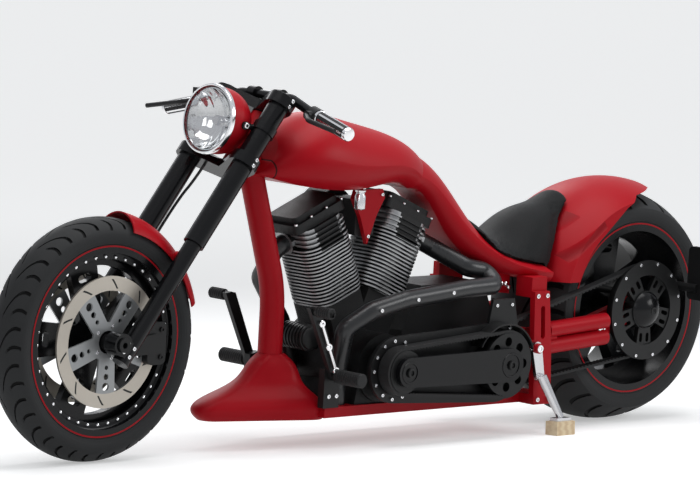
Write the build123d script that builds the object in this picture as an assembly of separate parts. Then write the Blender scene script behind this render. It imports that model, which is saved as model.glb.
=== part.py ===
from build123d import *
import math
import os

# Long low chopper with a 45 degree V-twin, open belt primary and a stretched body drawn in one line.
# It is drawn upright: X forward from the rear axle, Y to the rider's left, Z up from the ground, in millimetres.
# At the end every piece is leaned together onto the side stand and set over the shared origin.

# Stance and clearances
LEAN = 3.0
RUN_CLEAR = 0.3
SIDE_GAP = 7

# Rear wheel
REAR_SEAT_R = 229
REAR_FLANGE_H = 14
REAR_SECTION_H = 101
REAR_TYRE_HALF = 148
REAR_CROWN_DROP = 48
REAR_TYRE_WALL = 13
REAR_RIM_WALL = 12
REAR_HUB_R = 48
REAR_HUB_STEP = 30
REAR_AXLE_R = 22
REAR_DISC_R = 146
REAR_DISC_T = 7

# Front wheel
FRONT_SEAT_R = 241
FRONT_FLANGE_H = 11
FRONT_SECTION_H = 78
FRONT_TYRE_HALF = 63
FRONT_CROWN_DROP = 31
FRONT_TYRE_WALL = 10
FRONT_RIM_WALL = 11
FRONT_HUB_R = 42
FRONT_AXLE_R = 12
FRONT_DISC_R = 172
FRONT_DISC_T = 6
FLANGE_T = 7
BEAD_STEP = 16
SPOKE_COUNT = 5
SOCKET_R = 8
SOCKET_DEPTH = 22

# Steering head and fork, measured along and across the steering axis
RAKE = 38
HEAD_AHEAD = 403
HEAD_OVER = 130
HEAD_R = 34
STEM_R = 17
STEM_SETBACK = 58
FORK_LEAD = 38
FORK_SIDE = 40
TUBE_R = 29
TUBE_LENGTH = 475
LEG_R = 23
TUBE_TOP = 122
CLAMP_T = 30
LOWER_CLAMP = -100
CLAMP_WALL = 10
BOSS_HALF = 22

# Handlebar and headlight
BAR_R = 12.7
GRIP_R = 18
BAR_HALF = 346
LENS_R = 91
BOWL_DEPTH = 120
BOWL_T = 4

# Engine
CRANK_RISE = 125
CASE_R = 92
V_HALF = 22.5
BARREL_BASE = 198
BARREL_R = 62
FIN_PITCH = 10.2
FIN_T = 4.4
FIN_COUNT = 17
FIN_LENGTH = 168
FIN_WIDTH = 150
FIN_CORNER = 44
HEAD_T = 50
HEAD_HALF = 70
ROCKER_T = 44
ROCKER_LENGTH = 186
ROCKER_WIDTH = 130
PORT_BOSS = 16
PORT_UP = 16
PIPE_R = 25

# Drive, stacked outward from the rear tyre's side
FINAL_BELT_W = 26
FINAL_BELT_T = 6
FINAL_FRONT_R = 78
FINAL_REAR_R = 122
PRIMARY_LENGTH = 385
PRIMARY_PLATE_T = 10
PRIMARY_BELT_W = 38
PRIMARY_BELT_T = 8
PRIMARY_FRONT_R = 58
PRIMARY_REAR_R = 86
BRACE_T = 16

# Frame and body
BELLY_Z = 90
BELLY_HALF = 150
BELLY_T = 28
POST_T = 18
SWING_AHEAD = 95
SWING_BELOW = 62
GEARBOX_AHEAD = 175
ARM_R = 22
FENDER_GAP = 16
FENDER_T = 12
FENDER_EDGE = 62
SEAT_BASE_HALF = 163
DOWN_R = 33
DOWN_BEND = 380
CHIN_AHEAD = 277

# Number plate carrier and side stand
PLATE_W = 180
PLATE_H = 150
STAND_PIN_R = 8
STAND_AHEAD = 41
FOOT_BACK = 61
FOOT_Y = 270
BLOCK_L = 70
BLOCK_W = 45
BLOCK_H = 38

# Places that follow from those sizes
SIN_RAKE = math.sin(math.radians(RAKE))
COS_RAKE = math.cos(math.radians(RAKE))
SIN_V = math.sin(math.radians(V_HALF))
COS_V = math.cos(math.radians(V_HALF))
REAR_TYRE_R = REAR_SEAT_R + REAR_SECTION_H
FRONT_TYRE_R = FRONT_SEAT_R + FRONT_SECTION_H
REAR_HUB_HALF = REAR_TYRE_HALF - REAR_HUB_STEP
REAR_RIM_IN = REAR_SEAT_R - REAR_RIM_WALL
REAR_C = (0, 0, REAR_TYRE_R)
SWING_X = REAR_TYRE_R + SWING_AHEAD
SWING_Z = REAR_TYRE_R - SWING_BELOW
CLUTCH_X = SWING_X + GEARBOX_AHEAD
CRANK_X = CLUTCH_X + PRIMARY_LENGTH
CRANK_Z = BELLY_Z + CRANK_RISE
CLUTCH_Z = CRANK_Z
FINS_TOP = BARREL_BASE + FIN_COUNT * FIN_PITCH
HEAD_TOP = FINS_TOP + HEAD_T
ENGINE_TOP = CRANK_Z + (HEAD_TOP + ROCKER_T) * COS_V + ROCKER_LENGTH / 2 * SIN_V
HEAD_X = CRANK_X + HEAD_AHEAD
HEAD_Z = ENGINE_TOP + HEAD_OVER
FORK_Y = FRONT_TYRE_HALF + FORK_SIDE
FRONT_HUB_HALF = FORK_Y - BOSS_HALF - 25
AXLE_AHEAD = STEM_SETBACK + FORK_LEAD
AXLE_DROP = (FRONT_TYRE_R - HEAD_Z - AXLE_AHEAD * SIN_RAKE) / COS_RAKE
FRONT_X = HEAD_X - AXLE_DROP * SIN_RAKE + AXLE_AHEAD * COS_RAKE
FRONT_C = (FRONT_X, 0, FRONT_TYRE_R)
UPPER_CLAMP = TUBE_TOP - CLAMP_T
FINAL_Y = REAR_TYRE_HALF + SIDE_GAP
FINAL_OUT = FINAL_Y + FINAL_BELT_W
PRIMARY_Y = FINAL_OUT + SIDE_GAP
PRIMARY_BELT_Y = PRIMARY_Y + PRIMARY_PLATE_T + 4
PRIMARY_OUT = PRIMARY_BELT_Y + PRIMARY_BELT_W
POST_Y = PRIMARY_Y
POST_OUT = POST_Y + POST_T
ARM_Y = REAR_TYRE_HALF + 6 + ARM_R
ARM_PLATE_OUT = REAR_TYRE_HALF + 2
ARM_PLATE_IN = REAR_HUB_HALF + REAR_DISC_T + 5
BELLY_TOP = BELLY_Z + BELLY_T
FENDER_R = REAR_TYRE_R + FENDER_GAP + FENDER_T
CHIN_X = CRANK_X + CHIN_AHEAD
STAND_X = SWING_X + STAND_AHEAD
STAND_Z = SWING_Z - 18
FOOT_X = STAND_X - FOOT_BACK
CALIPER_X = FRONT_X - FRONT_DISC_R + 22
CALIPER_Z = FRONT_TYRE_R - 8
PLATE_Y = PRIMARY_OUT - 38
STAND_UP = (Align.CENTER, Align.CENTER, Align.MIN)
PARTS = {}


# Drawing helpers
def side(y):
    return Plane(origin=(0, y, 0), x_dir=(1, 0, 0), z_dir=(0, -1, 0))


def slab(face, ya, yb):
    # flat plate drawn in side view, between two distances from the centre line
    low, high = sorted((ya, yb))
    return extrude(side(low) * face, amount=high - low, dir=(0, 1, 0))


def face_of(*lines):
    return make_face([edge for line in lines for edge in line.edges()])


def polygon(*points):
    return face_of(Polyline(*points, points[0]))


def hull(*discs):
    # outline stretched round circles given as (x, z, radius)
    edges = [edge for x, z, radius in discs for edge in (Pos(x, z) * Circle(radius)).edges()]
    return make_hull(edges)


def rod(start, end, radius):
    run = Vector(*end) - Vector(*start)
    return Plane(origin=start, z_dir=run) * Cylinder(radius, run.length, align=STAND_UP)


def cone(start, end, radius_a, radius_b):
    run = Vector(*end) - Vector(*start)
    return Plane(origin=start, z_dir=run) * Cone(radius_a, radius_b, run.length, align=STAND_UP)


def cross_rod(x, z, ya, yb, radius):
    low, high = sorted((ya, yb))
    return rod((x, low, z), (x, high, z), radius)


def pipe(points, radius, bends):
    # round tube along straight runs joined by arcs
    route = FilletPolyline(*points, radius=bends)
    start = Plane(origin=points[0], z_dir=Vector(*points[1]) - Vector(*points[0]))
    return sweep(start * Circle(radius), path=route)


def turned(profile, centre, start=0, arc=360):
    # profile of (radius, y) turned about an axle, from start degrees ahead of straight up
    a = math.radians(start)
    plane = Plane(origin=centre, x_dir=(math.sin(a), 0, math.cos(a)), z_dir=(-math.cos(a), 0, math.sin(a)))
    return revolve(plane * profile, axis=Axis(centre, (0, 1, 0)), revolution_arc=arc)


def band(r0, r1, y0, y1):
    return polygon((r0, y0), (r1, y0), (r1, y1), (r0, y1))


def around(shape, centre, count, first=0):
    # copies of a shape evenly spaced about an axle
    axis = Axis(centre, (0, 1, 0))
    return [shape.rotate(axis, first + 360 * i / count) for i in range(count)]


def dome_arc(radius, base, top):
    # arc from the edge of a round cap to its middle, with its centre on the axis
    height = abs(top - base)
    ball = (radius * radius + height * height) / (2 * height)
    sign = 1 if top > base else -1
    half = math.acos((ball - height) / ball) / 2
    middle = (ball * math.sin(half), top - sign * ball * (1 - math.cos(half)))
    return ThreePointArc((radius, base), middle, (0, top))


def biggest(shape):
    return shape.solids().sort_by(SortBy.VOLUME)[-1]


def fork_point(up, ahead=0, y=0):
    # place measured up and ahead of the steering axis from the middle of the head
    return (HEAD_X - up * SIN_RAKE + ahead * COS_RAKE, y, HEAD_Z + up * COS_RAKE + ahead * SIN_RAKE)


def fork_plane(up, ahead=0):
    # plane across the fork: local x forward, local y to the left, normal up the fork
    return Plane(origin=fork_point(up, ahead), x_dir=(COS_RAKE, 0, SIN_RAKE), z_dir=(-SIN_RAKE, 0, COS_RAKE))


def unlean(shape):
    # turns a piece drawn level on the floor into the upright machine's frame
    return Rot(LEAN, 0, 0) * shape


# Wheels
def crown_radius(half, drop):
    edge = half - 2
    return (edge * edge + drop * drop) / (2 * drop)


def tyre(centre, seat, flange_h, section_h, half, drop, wall):
    outer = seat + section_h
    flange = seat + flange_h
    seat_half = half - BEAD_STEP
    shoulder = outer - drop
    lip = seat_half + FLANGE_T
    mid = (flange + shoulder) / 2
    edge = half - 2
    inner = edge - wall
    foot = seat_half - 2.2 * wall
    throat = shoulder - wall / 2
    lines = [
        Polyline((seat, -foot), (seat, -seat_half), (flange + 1, -seat_half), (flange + 1, -lip)),
        ThreePointArc((flange + 1, -lip), (mid, -half), (shoulder, -edge)),
        ThreePointArc((shoulder, -edge), (outer, 0), (shoulder, edge)),
        ThreePointArc((shoulder, edge), (mid, half), (flange + 1, lip)),
        Polyline((flange + 1, lip), (flange + 1, seat_half), (seat, seat_half), (seat, foot)),
        ThreePointArc((seat, foot), (mid, half - wall), (throat, inner)),
        ThreePointArc((throat, inner), (outer - wall, 0), (throat, -inner)),
        ThreePointArc((throat, -inner), (mid, wall - half), (seat, -foot)),
    ]
    return turned(face_of(*lines), centre, 90)


def rim_barrel(centre, seat, flange_h, half, wall):
    flange = seat + flange_h
    seat_half = half - BEAD_STEP
    lip = seat_half + FLANGE_T
    outline = Polyline(
        (seat - wall, -lip), (flange, -lip), (flange, -seat_half), (seat, -seat_half),
        (seat, seat_half), (flange, seat_half), (flange, lip), (seat - wall, lip), (seat - wall, -lip))
    return turned(face_of(outline), centre)


def disc_face(outer, ring_w, hub_r, bore_r, holes):
    # friction ring on five drilled arms
    inner = outer - ring_w
    arm = polygon((-0.5 * hub_r, bore_r), (0.5 * hub_r, bore_r), (0.6 * hub_r, inner + 3), (-0.6 * hub_r, inner + 3))
    for radius, hole in holes:
        arm -= Pos(0, radius) * Circle(hole)
    face = Circle(outer) - Circle(inner) + Circle(hub_r)
    for i in range(SPOKE_COUNT):
        face += Rot(0, 0, 36 + 360 * i / SPOKE_COUNT) * arm
    return face - Circle(bore_r)


def front_wheel():
    ring_in = FRONT_SEAT_R - 47
    plate = 13
    bore = FRONT_AXLE_R + RUN_CLEAR
    wheel = rim_barrel(FRONT_C, FRONT_SEAT_R, FRONT_FLANGE_H, FRONT_TYRE_HALF, FRONT_RIM_WALL)
    wheel += turned(band(ring_in, FRONT_SEAT_R - FRONT_RIM_WALL / 2, -plate, plate), FRONT_C)
    wheel += turned(band(bore, FRONT_HUB_R, -FRONT_HUB_HALF, FRONT_HUB_HALF), FRONT_C)
    root = FRONT_HUB_R - 8
    tip = 47
    spoke_face = polygon((-root, FRONT_HUB_R - 12), (root, FRONT_HUB_R - 12), (tip, ring_in + 4), (-tip, ring_in + 4))
    spoke_face -= Pos(0, ring_in - 26) * SlotOverall(44, 20)
    spoke_face -= Pos(0, ring_in - 76) * Circle(14)
    spoke = slab(Pos(FRONT_X, FRONT_TYRE_R) * spoke_face, 2 - plate, plate - 2)
    wheel += around(spoke, FRONT_C, SPOKE_COUNT, 15)
    PARTS["front_rim"] = wheel
    PARTS["front_tyre"] = tyre(FRONT_C, FRONT_SEAT_R, FRONT_FLANGE_H, FRONT_SECTION_H, FRONT_TYRE_HALF,
                               FRONT_CROWN_DROP, FRONT_TYRE_WALL)
    holes = ((FRONT_HUB_R + 24, 6), (FRONT_HUB_R + 48, 8), (FRONT_HUB_R + 74, 11))
    face = Pos(FRONT_X, FRONT_TYRE_R) * disc_face(FRONT_DISC_R, 38, FRONT_HUB_R + 10, FRONT_HUB_R - 12, holes)
    out = FRONT_HUB_HALF + FRONT_DISC_T
    PARTS["front_discs"] = Compound([slab(face, hand * FRONT_HUB_HALF, hand * out) for hand in (-1, 1)])


def rear_wheel():
    web = 24
    wheel = rim_barrel(REAR_C, REAR_SEAT_R, REAR_FLANGE_H, REAR_TYRE_HALF, REAR_RIM_WALL)
    wheel += turned(band(REAR_AXLE_R, REAR_HUB_R, -REAR_HUB_HALF, REAR_HUB_HALF), REAR_C)
    wheel += turned(band(REAR_RIM_IN - 26, REAR_RIM_IN + 2, -web, web), REAR_C)
    root = REAR_HUB_R - 12
    spoke_face = polygon((-root, root), (root, root), (56, REAR_RIM_IN - 20), (-56, REAR_RIM_IN - 20))
    spoke_face -= Pos(0, REAR_RIM_IN - 62) * SlotOverall(52, 26)
    spoke = slab(Pos(0, REAR_TYRE_R) * spoke_face, 4 - web, web - 4)
    wheel += around(spoke, REAR_C, SPOKE_COUNT, 0)
    PARTS["rear_rim"] = wheel
    PARTS["rear_tyre"] = tyre(REAR_C, REAR_SEAT_R, REAR_FLANGE_H, REAR_SECTION_H, REAR_TYRE_HALF,
                              REAR_CROWN_DROP, REAR_TYRE_WALL)
    face = Pos(0, REAR_TYRE_R) * disc_face(REAR_DISC_R, 40, REAR_HUB_R + 4, REAR_HUB_R - 14, ((REAR_HUB_R + 36, 11),))
    PARTS["rear_disc"] = slab(face, -REAR_HUB_HALF - REAR_DISC_T, -REAR_HUB_HALF)
    # belt pulley on the outer end of the live axle
    y0 = FINAL_Y - 2
    y1 = FINAL_OUT + 2
    face_t = 7
    rim_in = FINAL_REAR_R - 24
    pulley = turned(band(rim_in, FINAL_REAR_R, y0, y1), REAR_C)
    pulley += turned(band(rim_in, FINAL_REAR_R + 18, y1, y1 + face_t), REAR_C)
    pulley += turned(band(REAR_AXLE_R, 54, y0, y1 + face_t), REAR_C)
    arm = polygon((-22, 40), (22, 40), (30, rim_in + 4), (-30, rim_in + 4))
    for hand in (-1, 1):
        arm -= Pos(hand * 13, rim_in - 20) * Rot(0, 0, 90) * SlotOverall(26, 12)
    arm_solid = slab(Pos(0, REAR_TYRE_R) * arm, y1 - 10, y1 + 4)
    PARTS["rear_pulley"] = pulley + around(arm_solid, REAR_C, SPOKE_COUNT, 36)
    cap_y = y1 + face_t
    end = -ARM_PLATE_OUT - 24
    axle = cross_rod(0, REAR_TYRE_R, end, cap_y, REAR_AXLE_R)
    axle += cross_rod(0, REAR_TYRE_R, end + 4, -ARM_PLATE_OUT - 1, REAR_AXLE_R + 12)
    axle += turned(face_of(Polyline((0, cap_y + 30), (0, cap_y), (52, cap_y)), dome_arc(52, cap_y, cap_y + 30)), REAR_C)
    PARTS["rear_axle"] = axle - cross_rod(0, REAR_TYRE_R, end, end + SOCKET_DEPTH, SOCKET_R)


# Fork, bars and headlight, which turn together
def fork():
    legs = []
    tubes = []
    calipers = []
    tube_low = TUBE_TOP - TUBE_LENGTH
    disc_gap = 1.5
    for hand in (-1, 1):
        y = hand * FORK_Y
        leg = rod(fork_point(AXLE_DROP - 34, STEM_SETBACK, y), fork_point(tube_low, STEM_SETBACK, y), LEG_R)
        boss = cross_rod(FRONT_X, FRONT_TYRE_R, y - BOSS_HALF, y + BOSS_HALF, 30)
        corners = ((-24, -10), (24, -10), (24, FORK_LEAD), (-24, FORK_LEAD))
        marks = [fork_point(AXLE_DROP + up, STEM_SETBACK + ahead) for up, ahead in corners]
        lug = slab(polygon(*[(mark[0], mark[2]) for mark in marks]), y - BOSS_HALF + 2, y + BOSS_HALF - 2)
        leg = leg + boss + lug - cross_rod(FRONT_X, FRONT_TYRE_R, y - 40, y + 40, FRONT_AXLE_R)
        legs.append(leg)
        tubes.append(rod(fork_point(tube_low, STEM_SETBACK, y), fork_point(TUBE_TOP, STEM_SETBACK, y), TUBE_R))
        low = fork_point(AXLE_DROP + 10, STEM_SETBACK)
        body = slab(Pos(CALIPER_X, CALIPER_Z) * RectangleRounded(62, 112, 16), hand * (FRONT_HUB_HALF - 8), hand * (FORK_Y - 18))
        bracket = hull((CALIPER_X + 10, CALIPER_Z, 26), (low[0], low[2], 22))
        bracket = slab(bracket, hand * (FORK_Y - 22), hand * (FORK_Y - 12))
        slot = turned(band(0, FRONT_DISC_R + 3, FRONT_HUB_HALF - disc_gap, FRONT_HUB_HALF + FRONT_DISC_T + disc_gap), FRONT_C)
        if hand < 0:
            slot = slot.mirror(Plane.XZ)
        calipers.append(biggest(body + bracket - slot - leg))
    PARTS["fork_legs"] = Compound(legs)
    PARTS["fork_tubes"] = Compound(tubes)
    PARTS["front_calipers"] = Compound(calipers)
    end = FORK_Y + BOSS_HALF + 6
    axle = cross_rod(FRONT_X, FRONT_TYRE_R, -end, end, FRONT_AXLE_R)
    for hand in (-1, 1):
        axle += cross_rod(FRONT_X, FRONT_TYRE_R, hand * (end - 6), hand * end, FRONT_AXLE_R + 7)
        axle += cross_rod(FRONT_X, FRONT_TYRE_R, hand * (FRONT_HUB_HALF + 0.5), hand * (FORK_Y - BOSS_HALF), FRONT_AXLE_R + 8)
    PARTS["front_axle"] = axle - cross_rod(FRONT_X, FRONT_TYRE_R, end - SOCKET_DEPTH, end, SOCKET_R)


def clamp(up, stem_room):
    # yoke with an arm from the stem to each tube
    stem = (0, 0, stem_room)
    plate = Circle(stem_room)
    for hand in (-1, 1):
        plate += hull(stem, (STEM_SETBACK, hand * FORK_Y, TUBE_R + CLAMP_WALL))
    for hand in (-1, 1):
        plate -= Pos(STEM_SETBACK, hand * FORK_Y) * Circle(TUBE_R)
    return extrude(fork_plane(up) * plate, amount=CLAMP_T)


def bars():
    rise = BAR_R + 9
    seat = fork_point(TUBE_TOP + rise, 28)
    bend = (seat[0] + 14, 190, seat[2] - 28)
    end = (seat[0] + 34, BAR_HALF, seat[2] - 66)
    inner = (seat[0], 96, seat[2])
    route = [(end[0], -end[1], end[2]), (bend[0], -bend[1], bend[2]), (inner[0], -inner[1], inner[2]), inner, bend, end]
    PARTS["handlebar"] = pipe(route, BAR_R, 60)
    clamps = clamp(LOWER_CLAMP, HEAD_R) + clamp(UPPER_CLAMP, HEAD_R - 2)
    clamps += rod(fork_point(LOWER_CLAMP), fork_point(TUBE_TOP + 8), STEM_R)
    for hand in (-1, 1):
        foot = fork_point(TUBE_TOP - 4, 28, hand * 48)
        clamps += cross_rod(seat[0], seat[2], hand * 34, hand * 62, BAR_R + 8) + rod(foot, (seat[0], hand * 48, seat[2]), 13)
    PARTS["fork_clamps"] = clamps - PARTS["handlebar"]
    grips = []
    levers = []
    for hand, reach in ((-1, 170), (1, 150)):
        a = Vector(bend[0], hand * bend[1], bend[2])
        b = Vector(end[0], hand * end[1], end[2])
        run = (b - a).normalized()
        sleeve = rod(tuple(a + run * 36), tuple(b + run * 8), GRIP_R) - rod(tuple(a), tuple(b), BAR_R)
        grips.append(sleeve)
        perch = rod(tuple(a + run * 4), tuple(a + run * 34), BAR_R + 8)
        knuckle = a + run * 20 + Vector(36, 0, 2)
        perch += rod(tuple(a + run * 18), tuple(knuckle), 11)
        blade = [tuple(knuckle), tuple(knuckle + run * 40 + Vector(24, 0, 0)), tuple(knuckle + run * reach + Vector(16, 0, 8))]
        lever = perch + pipe(blade, 6.5, 40)
        if hand < 0:
            lever += Pos(*(a + run * 14 + Vector(26, 0, 16))) * Box(46, 34, 34)
        levers.append(lever - PARTS["handlebar"])
    PARTS["grips"] = Compound(grips)
    PARTS["hand_levers"] = Compound(levers)


def headlight():
    centre = fork_point(-27, STEM_SETBACK + 94)
    tip_back = math.radians(10)
    plane = Plane(origin=centre, x_dir=(0, 1, 0), z_dir=(math.cos(tip_back), 0, math.sin(tip_back)))
    r = LENS_R
    d = BOWL_DEPTH
    t = BOWL_T
    waist = -0.36 * d
    outer = face_of(Polyline((0, -d), (0, 0), (r, 0), (r - 3, waist)), dome_arc(r - 3, waist, -d))
    room = face_of(Polyline((0, t - d), (0, 0), (r - t, 0), (r - t - 3, waist)), dome_arc(r - t - 3, waist, t - d))
    shell = plane * revolve(Plane.XZ * outer, Axis.Z)
    PARTS["fork_clamps"] -= plane * Pos(0, 0, -d) * Cylinder(r + 5, d + 20, align=STAND_UP)
    PARTS["headlight_bowl"] = shell - plane * revolve(Plane.XZ * room, Axis.Z)
    dish = face_of(Polyline((0, -58), (0, -62)), dome_arc(r - t - 4, -1, -62),
                   Line((r - t - 4, -1), (r - t - 7, -1)), dome_arc(r - t - 7, -1, -58))
    bulb = Pos(0, 0, -61) * Cylinder(11, 34, align=STAND_UP)
    PARTS["headlight_reflector"] = plane * (revolve(Plane.XZ * dish, Axis.Z) + bulb)
    glass = face_of(Polyline((0, 11), (0, 15)), dome_arc(r, 4, 15), Polyline((r, 4), (r, 0), (r - t, 0)),
                    dome_arc(r - t, 0, 11))
    PARTS["headlight_lens"] = plane * revolve(Plane.XZ * glass, Axis.Z)
    brackets = []
    for hand in (-1, 1):
        spot = (centre[0] - 46, hand * (FORK_Y - 40), centre[2] - 10)
        grip_at = fork_point(18, STEM_SETBACK, hand * FORK_Y)
        piece = rod((spot[0], hand * 40, spot[2]), (spot[0], hand * (FORK_Y - 10), spot[2]), 11)
        piece += rod((spot[0], hand * (FORK_Y - 12), spot[2]), (grip_at[0], hand * (FORK_Y - 12), grip_at[2]), 8)
        piece += rod(fork_point(6, STEM_SETBACK, hand * FORK_Y), fork_point(30, STEM_SETBACK, hand * FORK_Y), TUBE_R + 4)
        piece -= shell
        piece -= rod(fork_point(-60, STEM_SETBACK, hand * FORK_Y), fork_point(90, STEM_SETBACK, hand * FORK_Y), TUBE_R)
        brackets.append(biggest(piece))
    PARTS["headlight_brackets"] = Compound(brackets)


def front_fender():
    inner = FRONT_TYRE_R + FENDER_GAP
    t = 4
    half = FRONT_TYRE_HALF + 5
    drop = 46
    lines = [
        ThreePointArc((inner - drop, -half), (inner, 0), (inner - drop, half)),
        Line((inner - drop, half), (inner - drop, half + t)),
        ThreePointArc((inner - drop, half + t), (inner + t, 0), (inner - drop, -half - t)),
        Line((inner - drop, -half - t), (inner - drop, -half)),
    ]
    fender = turned(face_of(*lines), FRONT_C, -74, 61)
    spot = fork_point(AXLE_DROP + inner - drop + 16, STEM_SETBACK)
    for hand in (-1, 1):
        fender += cross_rod(spot[0], spot[2], hand * (half + 1), hand * (FORK_Y - 14), 12)
    PARTS["front_fender"] = fender - PARTS["fork_legs"]


def brake_hose():
    route = [fork_point(LOWER_CLAMP + 12, 34, -62), fork_point(LOWER_CLAMP - 36, 16, -86), fork_point(LOWER_CLAMP - 110, 20, -98),
             fork_point(LOWER_CLAMP - 330, 20, -96), fork_point(AXLE_DROP + 190, 10, -90), (CALIPER_X + 8, -78, CALIPER_Z + 84),
             (CALIPER_X + 4, -76, CALIPER_Z + 50)]
    hose = pipe(route, 4, 30)
    for name in ("fork_clamps", "front_calipers"):
        hose -= PARTS[name]
    PARTS["brake_hose"] = biggest(hose)


# Painted bodywork: slices across the body, and level slices through the chin
TANK_SECTIONS = (
    # behind the head, below it, tip back, half width, rise, drop, half floor
    (48, 22, 38, 62, 60, 66, 40),
    (92, 14, 36, 108, 98, 86, 62),
    (240, 40, 14, 146, 120, 78, 96),
    (438, 54, 10, 124, 88, 56, 84),
    (576, 92, 36, 86, 64, 42, 54),
)
BASE_SECTIONS = (
    # share of the run from tank to fender, share of its fall, tip back, half width, rise, drop, half floor
    (0.00, 0.00, 36, 86, 64, 42, 54),
    (0.26, 0.28, 50, 80, 54, 40, 50),
    (0.46, 0.63, 44, 104, 48, 50, 66),
    (0.70, 0.89, 14, 146, 38, 34, 112),
    (1.00, 1.00, 0, SEAT_BASE_HALF, 34, 30, 130),
)
PAD_SECTIONS = (
    # ahead of the fender's crest, above the axle, half width, rise, drop
    (244, 194, 84, 34, 30),
    (171, 170, 128, 54, 40),
    (103, 152, 136, 53, 44),
    (51, 146, 140, 95, 50),
    (-25, 158, 136, 124, 60),
    (-98, 172, 106, 130, 60),
    (-164, 190, 60, 128, 60),
)
CHIN_SECTIONS = (
    # above the pan's floor, nose ahead, nose radius, tail ahead, half width, tail radius
    (160, 6, 29, -8, 35, 29),
    (100, 66, 34, -38, 64, 40),
    (54, 170, 40, -52, 108, 50),
    (26, 212, 46, -68, 130, 50),
    (-8, 202, 36, -68, 122, 50),
)


def dome_section(x, z, tilt, half_w, rise, drop, floor_w):
    # slice across the body with an arched top, tucked-in sides and a flat floor, its up direction tipped back
    t = math.radians(tilt)
    plane = Plane(origin=(x, 0, z), x_dir=(0, 1, 0), z_dir=(math.cos(t), 0, math.sin(t)))
    tuck = (half_w - 0.22 * (half_w - floor_w), -0.62 * drop)
    return plane * face_of(
        ThreePointArc((-half_w, 0), (0, rise), (half_w, 0)),
        ThreePointArc((half_w, 0), tuck, (floor_w, -drop)),
        Line((floor_w, -drop), (-floor_w, -drop)),
        ThreePointArc((-floor_w, -drop), (-tuck[0], tuck[1]), (-half_w, 0)))


def chin_section(up, nose, nose_r, tail, half_w, tail_r):
    # level slice: a rounded triangle with its nose forward
    spread = half_w - tail_r
    tails = [(CHIN_X + tail, hand * spread, tail_r) for hand in (-1, 1)]
    return Pos(0, 0, BELLY_Z + up) * hull((CHIN_X + nose, 0, nose_r), *tails)


def bodywork():
    inner = REAR_TYRE_R + FENDER_GAP
    side_in = REAR_TYRE_HALF + 8
    side_out = side_in + FENDER_T
    edge_r = REAR_TYRE_R - FENDER_EDGE
    bend_r = edge_r + 34
    wide = 2 * side_out
    arch = face_of(
        Line((edge_r, -side_in), (bend_r, -side_in)),
        ThreePointArc((bend_r, -side_in), (inner, 0), (bend_r, side_in)),
        Polyline((bend_r, side_in), (edge_r, side_in), (edge_r, side_out), (bend_r + 4, side_out)),
        ThreePointArc((bend_r + 4, side_out), (FENDER_R, 0), (bend_r + 4, -side_out)),
        Polyline((bend_r + 4, -side_out), (edge_r, -side_out), (edge_r, -side_in)))
    fender = turned(arch, REAR_C, -13, 100)
    # the tail's lower edge sweeps up to the crown
    tail = ((-140, 8), (-60, 2), (20, -10), (76, -42), (157, -112), (212, -172), (212, -260), (-140, -260))
    fender -= slab(polygon(*[(x, 2 * REAR_TYRE_R + up) for x, up in tail]), -wide, wide)
    front_z = REAR_TYRE_R + 86
    fender -= slab(polygon((2 * inner, front_z), (0, front_z), (0, 0), (2 * inner, 0)), -wide, wide)
    run_x, run_z = FENDER_R - 2, REAR_TYRE_R + 117
    start_x, start_z = HEAD_X - TANK_SECTIONS[-1][0], HEAD_Z - TANK_SECTIONS[-1][1]
    slices = []
    for along, fall, *shape in BASE_SECTIONS:
        slices.append(dome_section(start_x + along * (run_x - start_x), start_z + fall * (run_z - start_z), *shape))
    base = loft(slices)
    base -= cross_rod(0, REAR_TYRE_R, -wide, wide, inner + FENDER_T / 2)
    PARTS["seat_base"] = base
    PARTS["rear_fender"] = fender - base
    slices = []
    for ahead, up, half_w, rise, drop in PAD_SECTIONS:
        slices.append(dome_section(FENDER_R + ahead, REAR_TYRE_R + up, 0, half_w, rise, drop, half_w - 14))
    pad = loft(slices)
    PARTS["seat_pad"] = biggest(pad - cross_rod(0, REAR_TYRE_R, -wide, wide, FENDER_R + RUN_CLEAR) - base)
    chin = loft([chin_section(*row) for row in CHIN_SECTIONS])
    pan_end = SWING_X - 45
    pan = Pos(pan_end, 0, BELLY_Z) * Box(CHIN_X - 70 - pan_end, 2 * BELLY_HALF, BELLY_T,
                                         align=(Align.MIN, Align.CENTER, Align.MIN))
    PARTS["belly_pan"] = chin + pan
    head_lo = fork_point(LOWER_CLAMP + CLAMP_T + 2)
    head_hi = fork_point(UPPER_CLAMP - 2)
    head = rod(head_lo, head_hi, HEAD_R)
    chin_top = BELLY_Z + CHIN_SECTIONS[0][0]
    down = pipe([fork_point(0), (CHIN_X, 0, chin_top + 170), (CHIN_X, 0, chin_top)], DOWN_R, DOWN_BEND)
    PARTS["down_tube"] = down + head - rod(head_lo, head_hi, STEM_R + RUN_CLEAR)
    tank = loft([dome_section(HEAD_X - back, HEAD_Z - below, *shape) for back, below, *shape in TANK_SECTIONS])
    PARTS["fuel_tank"] = tank - head - down
    panel = ((115, 150), (115, 66), (49, 58), (49, 130))
    panel = polygon(*[(SWING_X + x, REAR_TYRE_R + z) for x, z in panel])
    PARTS["side_panels"] = Compound([biggest(slab(panel, hand * 100, hand * 110) - base) for hand in (-1, 1)])


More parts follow.
